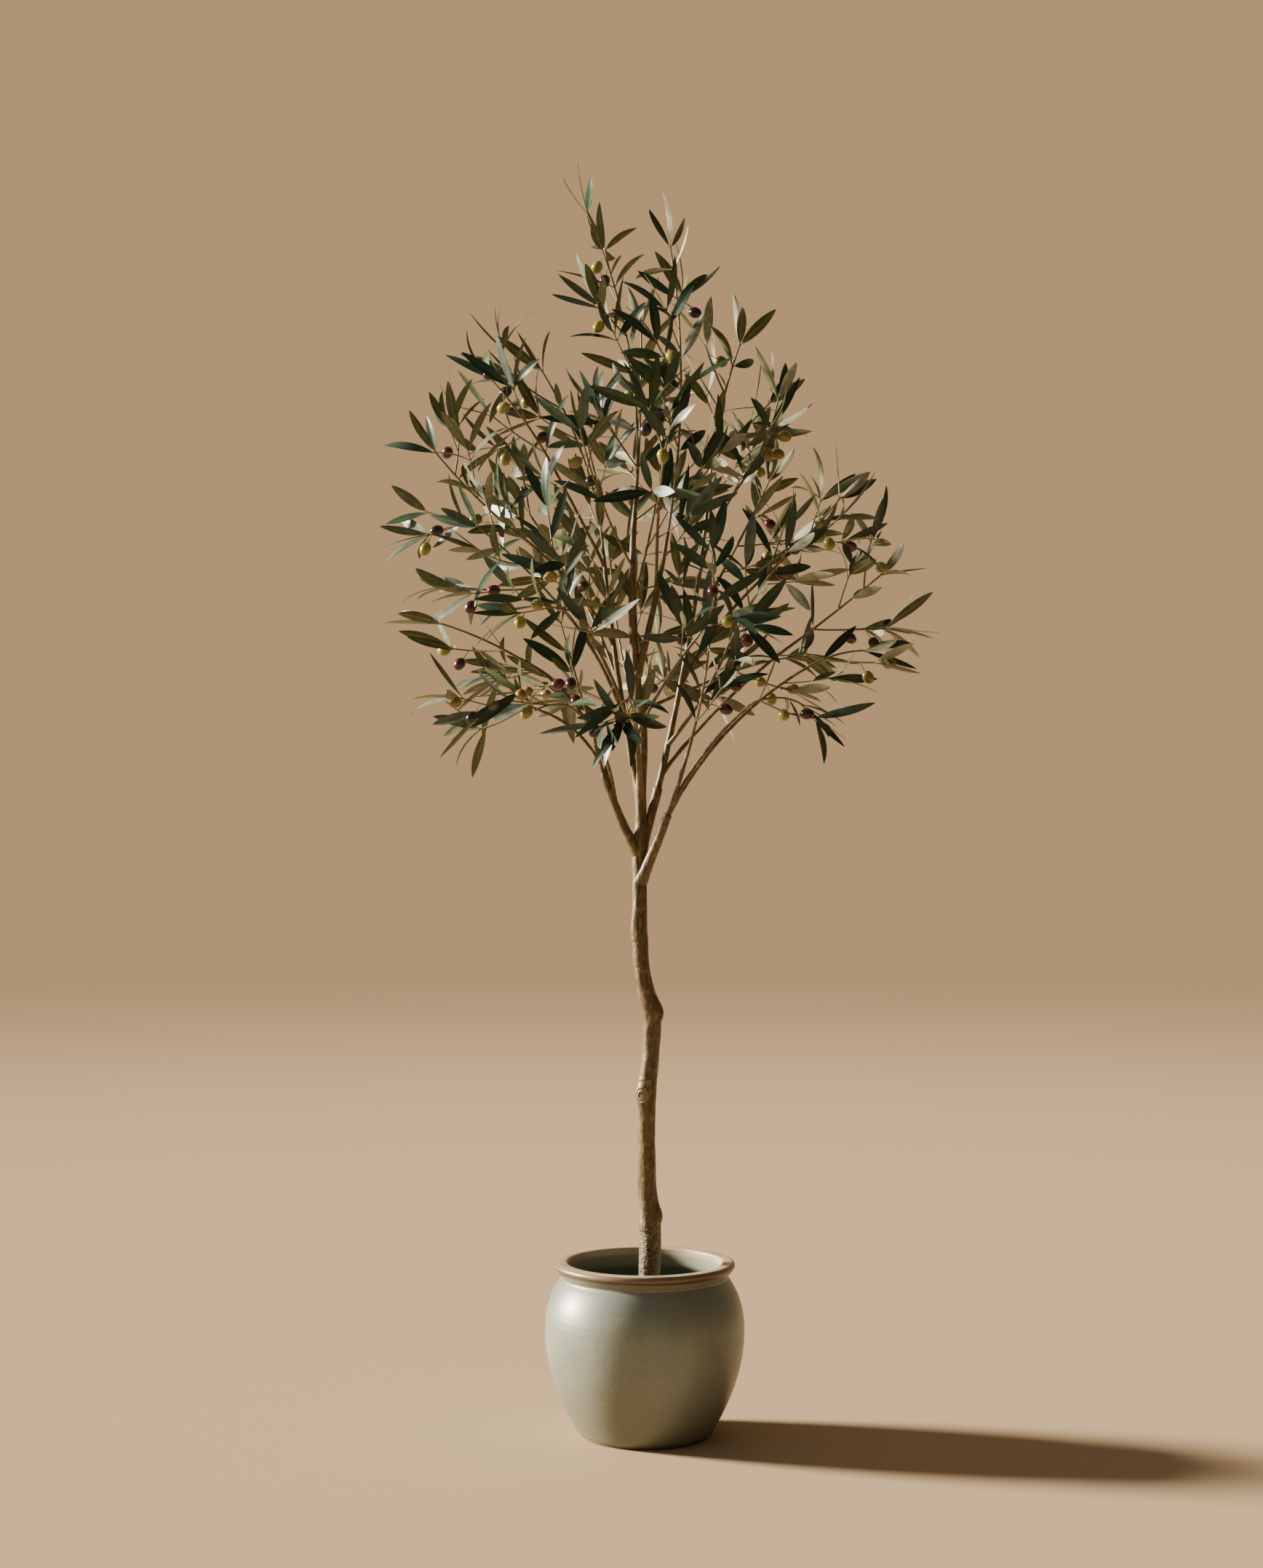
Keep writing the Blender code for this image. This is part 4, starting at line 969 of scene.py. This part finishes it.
def add_leaf(pile, leaf, top, rib, under, under_rib):
    """A thin closed blade: folded along a sunk rib above, with a raised rib below."""
    points = []
    for t, (centre, side, up) in zip(LEAF_ROWS, leaf_spine(leaf)):
        half = leaf_half_width(t, leaf.width)
        rib_half = min(RIB * (1.15 - t), half * 0.6)
        lift = math.sin(leaf.fold)
        body = LEAF_THICKNESS if t > PETIOLE else PETIOLE_WIDTH * 1.6
        for k, column in enumerate(LEAF_COLUMNS):
            reach = column * half if column else rib_half * (-1 if k == 2 else 1)
            curl = lift * abs(reach) - 0.35 * lift * reach * reach / max(half, 1e-6)
            points.append(centre + side * reach + up * curl)
        for reach in (-rib_half * 1.4, rib_half * 1.4):
            points.append(centre + side * reach - up * body)
    sides = len(LEAF_RING)
    last = len(LEAF_ROWS) - 1
    faces = [
        (r * sides + low, r * sides + high, (r + 1) * sides + high, (r + 1) * sides + low)
        for r in range(last)
        for low, high in zip(LEAF_RING, LEAF_RING[1:] + LEAF_RING[:1])
    ]
    materials = [top, top, rib, top, top, under, under_rib, under] * last
    faces += [(0, *reversed(LEAF_RING[1:])), tuple(last * sides + i for i in LEAF_RING)]
    pile.add(points, faces, materials + [rib, rib])


def leaf_slots(twig, leafiness):
    """Opposite pairs along a twig, one leaf at each fork of a stem, and a fan at the tip.

    Each slot holds a leaf and the ways it may turn aside.
    """
    route = twig.fine
    pitch = twig.leaf_pitch / leafiness
    first = FIRST_PAIR if twig.forks else pitch * 0.8
    start = random.Random(twig.key).uniform(0, 90)
    spots = []
    for pair in range(max(0, int((route.length - first - pitch * 0.4) / pitch) + 1)):
        at_fork = twig.forks and pair % FINE_PAIRS_PER_FORK == 0
        for side in (180,) if at_fork else (0, 180):
            share = (first + pair * pitch) / route.length
            turn = start + PAIR_TURN * pair + side
            spots.append((f"{pair} {side}", share, turn, LEAF_ANGLE, 1.0))
    for blade in range(TIP_LEAVES):
        share = 1 - TIP_SINK / route.length
        turn = start + 45 + 360 / TIP_LEAVES * blade
        spots.append((f"tip {blade}", share, turn, LEAF_ANGLE * (0.35 + 0.2 * blade), 0.95))
    slots = []
    for spot, share, turn, angle, size in spots:
        point, along, _ = route.at(share)
        key = f"{twig.key} {spot}"
        slots.append([leaf_from(key, point, along, turn + a, angle, size) for a in TURNS_ASIDE])
    return slots


# ======== build: pot and soil
def pot_wall_radius(height):
    if height <= BELLY_HEIGHT:
        share = height / BELLY_HEIGHT
        swell = math.sin(math.pi / 2 * share**BELLY_SWELL)
        return FOOT_RADIUS + (BELLY_RADIUS - FOOT_RADIUS) * swell
    share = (height - BELLY_HEIGHT) / (NECK_HEIGHT - BELLY_HEIGHT)
    return BELLY_RADIUS - (BELLY_RADIUS - NECK_RADIUS) * share**SHOULDER_FALL


def arc(x, y, radius, start_degrees, end_degrees, steps):
    angles = np.radians(np.linspace(start_degrees, end_degrees, steps + 1))
    return [(x + radius * math.cos(a), y + radius * math.sin(a)) for a in angles]


def build_pot():
    """The turned pot: its foot, belly, neck and rolled lip, then down its wall inside."""
    outside = np.linspace(FOOT_ROUNDING + 0.002, SHOULDER_TOP, 56)
    inside = np.linspace(NECK_HEIGHT - 0.010, INSIDE_FLOOR, 14)
    profile = [
        (0.0, 0.0),
        (FOOT_RADIUS * 0.5, 0.0),
        *arc(FOOT_RADIUS - FOOT_ROUNDING, FOOT_ROUNDING, FOOT_ROUNDING, -90, 0, 6),
        *[(pot_wall_radius(h), h) for h in outside],
        *arc(NECK_RADIUS + NECK_CURVE, NECK_HEIGHT - 0.0005, NECK_CURVE, 195, 125, 6),
        *arc(LIP_RADIUS - LIP_ROLL, POT_HEIGHT - LIP_ROLL, LIP_ROLL, -50, 90, 16),
        *arc(MOUTH_RADIUS + MOUTH_ROLL, POT_HEIGHT - MOUTH_ROLL, MOUTH_ROLL, 95, 180, 8),
        (MOUTH_RADIUS + 0.0005, NECK_HEIGHT - 0.002),
        *[(pot_wall_radius(h) - WALL, h) for h in inside],
        (0.0, INSIDE_FLOOR),
    ]
    pile = Pile()
    pile.add(*lathed(profile, POT_SIDES))
    pile.build("pot_glazed", [glaze_paint()], "celadon_glaze", ["pot"], sharp=60)


def build_soil():
    """A crumbly surface that dips a little from the trunk to the wall."""
    rng = random.Random("soil")
    wall = pot_wall_radius(SOIL_TOP) - WALL - SOIL_CLEARANCE

    def level(radius):
        return SOIL_TOP + SOIL_CROWN * (1 - radius / wall)

    radii = [wall * (1 - r / SOIL_RINGS) for r in range(SOIL_RINGS + 1)]
    points, faces = lathed([(radius, level(radius)) for radius in radii], SOIL_SIDES)
    lumpy = []
    for x, y, height in points:
        lump = SOIL_LUMP * noise.fractal(Vector((x, y, 0.3)) * 70, 1.0, 2.0, 5)
        lumpy.append((x, y, min(height + lump, SOIL_PEAK)))
    pile = Pile()
    pile.add(lumpy, faces)
    for _ in range(SOIL_CRUMBS):
        radius, turn = wall * 0.97 * math.sqrt(rng.random()), rng.uniform(0, math.tau)
        size = CRUMB_SIZE + CRUMB_GROWTH * rng.random() ** 2
        centre = (radius * math.cos(turn), radius * math.sin(turn), level(radius) + size * 0.3)
        girth = (0.4, rng.uniform(0.8, 1.1), rng.uniform(0.7, 1.0), 0.35)
        points, faces = tube([Vector((0, 0, height)) for height in CRUMB_HEIGHTS], girth, 6)
        tilt = Matrix.Rotation(rng.uniform(0, 3), 3, Vector((rng.random(), rng.random(), 0.3)))
        pile.add([np.array(tilt @ point) * size + centre for point in points], faces)
    pile.build("soil_fill", [soil_paint()], "soil", ["soil"])


# ======== build: trunk and limbs
def hump(distance, width):
    """1 at no distance, which falls away smoothly past a width."""
    return math.exp(-((distance / width) ** 2))


def grain_noise(place, grain):
    across, along, _ = grain
    return noise.noise(Vector((place.x * across, place.y * across, place.z * along)))


def bark_height(place, strength, granules=0.0):
    """How far moulded bark stands out: lengthwise creases, swells, grit and low granules."""
    creased = min(1.0, abs(grain_noise(place, CREASES)) * 5) - 0.6
    swells, grit = grain_noise(place, SWELLS), grain_noise(place, GRIT)
    height = strength * (CREASES.share * creased + SWELLS.share * swells + GRIT.share * grit)
    if granules > 0.01 * BARK_GRANULES:
        height += granules * (0.45 - noise.voronoi(place * 330)[0][0])
    return height


def scar_swell(point, outward):
    """The rings of the cut side limb's scar, and its hollow heart."""
    facing = outward.dot(heading_and_rise(SCAR_HEADING, 0.0))
    if facing <= 0:
        return 0.0
    across = math.acos(min(1.0, facing)) * SCAR_OUT
    distance = math.hypot(across, (point.z - SCAR_HEIGHT) * SCAR_ROUND[2]) / SCAR_REACH
    distance += 0.16 * noise.noise(point * 190)
    return sum(fold.height * hump(distance - fold.at, fold.width) for fold in SCAR_FOLDS)


def knob_swell(knob, point, outward):
    """A healed knob: a swelling on one side, folded below where no scar covers it."""
    facing = outward.dot(heading_and_rise(math.radians(knob.heading), 0.0))
    above = point.z - knob.height
    reach = knob.half_length * (KNOB_ABOVE if above > 0 else KNOB_BELOW)
    swell = knob.bulge * hump(above, reach) * math.exp(KNOB_GRIP * (facing - 1))
    if knob == SCARRED_KNOB:
        return swell + scar_swell(point, outward)
    for fold in KNOB_FOLDS:
        ridge = hump(above + knob.half_length * fold.at, fold.width)
        swell += fold.height * ridge * max(facing, 0.0) ** 0.5
    return swell


def trunk_relief(point, outward, radius):
    flat = Vector((outward.x, outward.y, 0.0))
    swell = sum(knob_swell(knob, point, outward) for knob in TRUNK_KNOBS + SMALL_KNOBS)
    rough = TRUNK_GRAIN + FORK_GRAIN * hump(point.z - FORK_HEIGHT, FORK_SPAN)
    rough *= min(1.0, radius / FULL_GRAIN_TRUNK)
    granules = BARK_GRANULES / (1 + math.exp((point.z - GRANULES_TOP) / GRANULES_FADE))
    return flat * (swell + bark_height(point, rough, granules))


def limb_relief(point, outward, radius):
    return outward * bark_height(point, LIMB_GRAIN * min(1.0, radius / FULL_GRAIN_LIMB))


def barked_tube(route, radii, sides, relief):
    """A tube along a route, whose points are moved by the relief of its bark."""
    points, faces = tube(route.points, radii, sides)
    shaped = []
    for i, point in enumerate(points):
        outward = (point - route.points[i // sides]).normalized()
        shaped.append(point + relief(point, outward, radii[i // sides]))
    return shaped, faces


def build_trunk(route):
    """The moulded trunk, cut flat at its foot."""
    points, faces = barked_tube(route, route.radii, TRUNK_SIDES, trunk_relief)
    for point in points[:TRUNK_SIDES]:
        point.z = TRUNK_FOOT
    bark = bark_paint(*TRUNK_BARK)
    pile = Pile()
    pile.add(points, faces)
    pile.build("trunk_bark", [bark], "bark", ["trunk"], sharp=80)
    return bark


def cut_radius(limb, point, radius):
    """A cut bough is thicker up to its cut, which has a slight rim, and thinner past it."""
    cut = CUTS.get(limb.name)
    if not cut:
        return radius
    if point.z > cut.height:
        return radius * cut.after
    return radius * cut.before + CUT_RIM * hump(cut.height - point.z, CUT_RIM_WIDTH)


def build_limbs(routes, bark):
    """The boughs and branches, each with moulded grain and a collar at its joint."""
    pile = Pile()
    for limb in LIMBS:
        route = routes[limb.name]
        sides = BOUGH_SIDES if limb in BOUGHS else BRANCH_SIDES
        radii = [cut_radius(limb, p, r) for p, r in zip(route.points, route.radii)]
        pile.add(*barked_tube(route, radii, sides, limb_relief))
    pile.build("limbs_bark", [bark], "bark", LIMB_NAMES, sharp=80)


# ======== build: foliage
def clear_twiglet(key, route, share, turn, length, crowd):
    """A twiglet from a point of a route, turned to where nothing is in its way, or none."""
    point, along, radius = route.at(share)
    for aside in TWIGLET_TURNS:
        outward = turned(along, turn + aside)
        path = offshoot(key, TWIGLET_HABIT, point, along, outward, length)
        made = tapered(bow(point, *path, TWIG_RING), TWIGLET_RADIUS)
        past_limb = [p for p in made.points[2:] if (p - point).length > radius + CLEAR_OF_LIMB]
        if crowd.free(past_limb):
            crowd.take(made.points[1:], TWIGLET_SPACE)
            return [Twig(key, made, made, TWIGLET_PITCH)]
    return []


def twiglets_on(spray, twigs, crowd):
    """Twiglets between the forks of the stem, and one part way along each side twig."""
    stem = twigs[0].fine
    reach = spray.spread * TWIGLET_OF_SPREAD
    spots = [(stem, share, pair, reach) for pair, share in fork_spots(stem, 1)]
    for number, twig in enumerate(twigs[1:]):
        if twig.fine.length > BRANCHED_TWIG:
            reach = twig.fine.length * BRANCHED_REACH
            spots.append((twig.fine, BRANCHED_AT, number, reach))
    start = random.Random(spray.name + " twiglets").uniform(0, 180)
    kept = []
    for number, (route, share, pair, length) in enumerate(spots):
        key = f"{spray.name} twiglet {number}"
        kept += clear_twiglet(key, route, share, start + PAIR_TURN * pair, length, crowd)
    return kept


def shoots_on(limb, route, crowd):
    """Short leafy shoots on the outer part of a limb, inside the crown."""
    start = random.Random(limb.name + " shoots").uniform(0, 180)
    kept = []
    for number in range(int(route.length * (1 - SHOOTS_FROM) / SHOOT_PITCH)):
        share = 1 - SHOOT_PITCH * (number + 0.5) / route.length
        if route.at(share)[0].z > SHOOTS_ABOVE:
            key = f"{limb.name} shoot {number}"
            turn = start + PAIR_TURN * number
            kept += clear_twiglet(key, route, share, turn, SHOOT_LENGTH, crowd)
    return kept


Olive = namedtuple("Olive", "base centre axis")


def crown_reach(twig):
    """How far out in the crown a twig is."""
    away = twig.fine.at(0.6)[0] - CROWN_MIDDLE
    return math.hypot(away.x, away.y) + 0.5 * abs(away.z)


def olives_on(spray, twigs, crowd):
    """Olives that hang by short stalks on the outer twigs, each with room round it."""
    rng = random.Random(spray.name + " olives")
    bearers = sorted(twigs[1:] or twigs, key=crown_reach, reverse=True)
    bearers = bearers[:max(3, len(bearers) * 2 // 3)]
    kept = []
    for i in range(OLIVE_TRIES):
        if len(kept) == OLIVES_PER_SPRAY:
            break
        base, along, _ = bearers[i * 2 % len(bearers)].fine.at(rng.uniform(*OLIVES_HANG))
        abroad = Vector((base.x, base.y, 0.0)).normalized()
        hang = turned(along, rng.uniform(0, 360)) * 0.6 + abroad * 0.7 + Vector((0, 0, -0.6))
        hang.normalize()
        centre = base + hang * (OLIVE_STALK + OLIVE_RADIUS * 0.8)
        apart = all((centre - olive.centre).length > OLIVES_APART for olive in kept)
        if apart and crowd.free([centre]):
            kept.append(Olive(base, centre, hang))
            crowd.take([centre], OLIVE_SPACE)
    return kept


LEAF_TOPS = (
    ("leaf_deep", (0.014, 0.036, 0.019), 0.40),
    ("leaf_dark", (0.023, 0.055, 0.030), 0.40),
    ("leaf_green", (0.042, 0.068, 0.023), 0.42),
    ("leaf_silver", (0.125, 0.160, 0.125), 0.38),
)
LEAF_BACKS = (
    ("leaf_back_grey", (0.132, 0.143, 0.077), 0.58),
    ("leaf_back_olive", (0.088, 0.096, 0.030), 0.56),
    ("leaf_back_pale", (0.245, 0.255, 0.170), 0.56),
)
LEAF_RIBS = (
    ("leaf_rib", (0.070, 0.100, 0.052), 0.48),
    ("leaf_back_rib", (0.255, 0.255, 0.140), 0.54),
)
LEAF_PAINTS = LEAF_TOPS + LEAF_BACKS + LEAF_RIBS
RIB_NUMBER, BACK_RIB_NUMBER = len(LEAF_PAINTS) - 2, len(LEAF_PAINTS) - 1
# How often each top, and each back, is dealt to a spray's leaves.
TOP_HABITS = ((6, 4, 1, 0), (5, 5, 1, 1), (4, 4, 3, 0), (6, 3, 1, 1))
BACK_HABIT = (5, 5, 2)
# The sprays on the left, towards the low light, are dealt more silver tops and pale backs than the
# rest: painted light.
PAINTED_LIGHT_SPRAYS = ("foliage_left_outer", "foliage_low_left", "foliage_left_mid")
PAINTED_LIGHT_TOPS = (3, 3, 2, 4)
PAINTED_LIGHT_BACKS = (3, 3, 5)


def dealt_colours(name):
    """The colours of a spray's leaves, one after another: a top and a back. The sprays on the left,
    towards the low light, get lighter ones: painted light.
    """
    deal = random.Random(name + " colours")
    habit, back_habit = deal.choice(TOP_HABITS), BACK_HABIT
    if name in PAINTED_LIGHT_SPRAYS:
        habit, back_habit = PAINTED_LIGHT_TOPS, PAINTED_LIGHT_BACKS
    tops = range(len(LEAF_TOPS))
    backs = range(len(LEAF_TOPS), len(LEAF_TOPS) + len(LEAF_BACKS))
    while True:
        top = deal.choices(tops, habit)[0]
        yield top, deal.choices(backs, back_habit)[0]


def grow_twigs(coarse, routes, crowd):
    """The twigs of each spray and the shoots of each limb, by name."""
    stems = {
        spray.name: Twig(spray.name, stem_route(spray, coarse[spray.limb], BOW_PITCH),
                         stem_route(spray, coarse[spray.limb], TWIG_RING),
                         FINE_STEM_PITCH, forks=True)
        for spray in SPRAYS
    }
    twigs = select_twigs(stems)
    for name in ["trunk", *LIMB_NAMES]:
        for point, radius in list(zip(routes[name].points, routes[name].radii))[::2]:
            crowd.take([point], radius + LIMB_SPACE)
    for kept in twigs.values():
        for twig in kept:
            crowd.take(twig.fine.points, TWIG_SPACE)
    for spray in SPRAYS:
        if spray.leafiness > SPARSE:
            twigs[spray.name] += twiglets_on(spray, twigs[spray.name], crowd)
    return twigs | {limb.name: shoots_on(limb, routes[limb.name], crowd) for limb in LIMBS}


def build_foliage(coarse, routes):
    """Twigs, olives and leaves, each kept clear of what has grown before it."""
    crowd = Crowd()
    twigs = grow_twigs(coarse, routes, crowd)
    olives = {spray.name: olives_on(spray, twigs[spray.name], crowd) for spray in SPRAYS}
    leafiness = {spray.name: spray.leafiness for spray in SPRAYS}
    leaves, wood = Pile(), Pile()
    for name, grown in twigs.items():
        slots = [slot for twig in grown for slot in leaf_slots(twig, leafiness.get(name, 1.0))]
        for choices, (top, back) in zip(slots, dealt_colours(name)):
            for leaf in choices:
                spine = leaf_spine(leaf)
                marks = [spine[row][0] for row in SPACED_ROWS]
                if crowd.free(marks):
                    crowd.take(marks, LEAF_SPACING)
                    add_leaf(leaves, leaf, top, RIB_NUMBER, back, BACK_RIB_NUMBER)
                    break
        for twig in grown:
            wood.add(*twig.fine.solid(sides=TWIG_SIDES))
    wood.build("twigs", [bark_paint(*TWIG_BARK)], "bark", SPRAY_NAMES, sharp=80)
    paints = [leaf_paint(*row) for row in LEAF_PAINTS]
    leaves.build("leaves", paints, "foliage", SPRAY_NAMES, sharp=70)
    build_olives(olives)


def olive_surface(olive):
    """A slightly egg-shaped olive with a dimple at its stalk and a blunt point below."""
    profile = []
    for r in range(OLIVE_RINGS + 1):
        polar = math.pi * r / OLIVE_RINGS
        tall = -math.cos(polar) * OLIVE_STRETCH + (0 if r else OLIVE_DIMPLE)
        profile.append((math.sin(polar) * (1 + 0.04 * math.cos(polar)), tall))
    points, faces = lathed(profile, OLIVE_SIDES)
    turn = olive.axis.to_track_quat("Z", "Y").to_matrix()
    return [olive.centre + turn @ (Vector(p) * OLIVE_RADIUS) for p in points], faces


OLIVE_PAINTS = (
    ("olive_green", (0.215, 0.200, 0.032), (0.275, 0.245, 0.060)),
    ("olive_turning", (0.190, 0.120, 0.026), (0.230, 0.180, 0.035)),
    ("olive_wine", (0.075, 0.009, 0.010), (0.035, 0.006, 0.012)),
    ("olive_black", (0.016, 0.007, 0.010), (0.034, 0.008, 0.012)),
)
OLIVE_RIPENESS = (9, 4, 7, 5)
STALK_RADII = (0.0006, 0.0006, 0.0008, 0.0018)


def build_olives(olives):
    """Olives in four ripenesses, each on a thin stalk that widens to a cap."""
    fruit, stalks = Pile(), Pile()
    for name, hung in olives.items():
        ripe = random.Random(name + " ripeness")
        for olive in hung:
            fruit.add(*olive_surface(olive), ripe.choices(range(4), OLIVE_RIPENESS)[0])
            top = olive.centre - olive.axis * OLIVE_RADIUS * OLIVE_STRETCH
            middle = olive.base.lerp(top, 0.5) + Vector((0, 0, 0.001))
            route = [olive.base, middle, top, top + olive.axis * 0.001]
            stalks.add(*tube(route, STALK_RADII, TWIG_SIDES))
    fruit.build("olives", [olive_paint(*row) for row in OLIVE_PAINTS], "foliage", sharp=80)
    stalk_paint = leaf_paint("olive_stalk", (0.15, 0.14, 0.06), 0.6)
    stalks.build("olive_stalks", [stalk_paint], "foliage", sharp=80)


# ======== floor, light and camera
STUDIO_BACK = (0.540, 0.332, 0.163)
STUDIO_LEFT = (0.285, 0.272, 0.230)
STUDIO_RIGHT = (0.090, 0.070, 0.048)
SUN_TONE = (1.0, 0.87, 0.69)
SUN_POWER = 20.0
SUN_BEHIND = math.radians(14)
SUN_RISE = math.radians(17)
SUN_SPREAD = math.radians(10)
FLOOR_NEAR = (0.46, 0.350, 0.235)
FLOOR_REACH = 60.0
BACK_ON_FLOOR = 0.2
# The light that falls on the floor: the studio's, and the low light's at its slant.
FLOOR_LIGHT = tuple(
    back * BACK_ON_FLOOR + (left + right) / 2 * (1 - BACK_ON_FLOOR)
    + SUN_POWER / math.pi * math.sin(SUN_RISE) * sun
    for back, left, right, sun in zip(STUDIO_BACK, STUDIO_LEFT, STUDIO_RIGHT, SUN_TONE)
)
EYE = (-0.019, -3.75, 0.93)
SENSOR, LENS = 36.0, 60.2


def studio_tone(nodes, right, back, light=(1.0, 1.0, 1.0)):
    """The studio's tone in a direction, from how far that points to the right and the back.

    Under a light, it is the colour that a surface needs to show that tone.
    """
    left_tone, right_tone, back_tone = [
        tuple(tone / lit for tone, lit in zip(tones, light))
        for tones in (STUDIO_LEFT, STUDIO_RIGHT, STUDIO_BACK)
    ]
    front = nodes.blend(right.ramp(-0.8, 0.8), left_tone, right_tone)
    return nodes.blend(back.ramp(0.10, 0.93), front, back_tone)


def pale_floor_paint():
    """A plain pale floor, which fades far off to the tone of the studio beyond it."""
    paint = Paint("pale_floor", FLOOR_NEAR, 0.85, Specular_IOR_Level=0.0)
    x, y, _ = paint.axes(paint.place())
    reach = (x * x + y * y) ** 0.5
    far = studio_tone(paint, x / reach, y / reach, FLOOR_LIGHT)
    paint.wear(Base_Color=paint.blend(reach.ramp(1.5, 9.0), FLOOR_NEAR, far))
    return paint.material


def build_stage():
    """A pale floor, an even warm studio and one low soft light from the left."""
    mesh = bpy.data.meshes.new("floor")
    corners = [(x * FLOOR_REACH, y * FLOOR_REACH, 0) for x, y in ((-1, -1), (1, -1), (1, 1), (-1, 1))]
    mesh.from_pydata(corners, [], [(0, 1, 2, 3)])
    mesh.materials.append(pale_floor_paint())
    shown("floor", mesh)

    world = bpy.data.worlds.new("studio")
    studio = Nodes(world, "Background", Strength=1.0)
    right, back, _ = studio.axes(studio.place("Generated"))
    studio.wear(Color=studio_tone(studio, right, back))
    bpy.context.scene.world = world

    light = bpy.data.lights.new("low_light", "SUN")
    light.energy = SUN_POWER
    light.color = SUN_TONE
    light.angle = SUN_SPREAD
    towards = -heading_and_rise(math.pi - SUN_BEHIND, SUN_RISE)
    shown("low_light", light).rotation_euler = towards.to_track_quat("-Z", "Y").to_euler()


def build_camera():
    camera = bpy.data.cameras.new("camera")
    camera.sensor_width = SENSOR
    camera.lens = LENS
    eye = shown("camera", camera)
    eye.location = EYE
    eye.rotation_euler = (math.radians(90), 0, 0)
    bpy.context.scene.camera = eye


build_camera()
build_stage()
build_pot()
build_soil()
coarse_routes, fine_routes = limb_routes()
trunk_bark = build_trunk(fine_routes["trunk"])
build_limbs(fine_routes, trunk_bark)
build_foliage(coarse_routes, fine_routes)
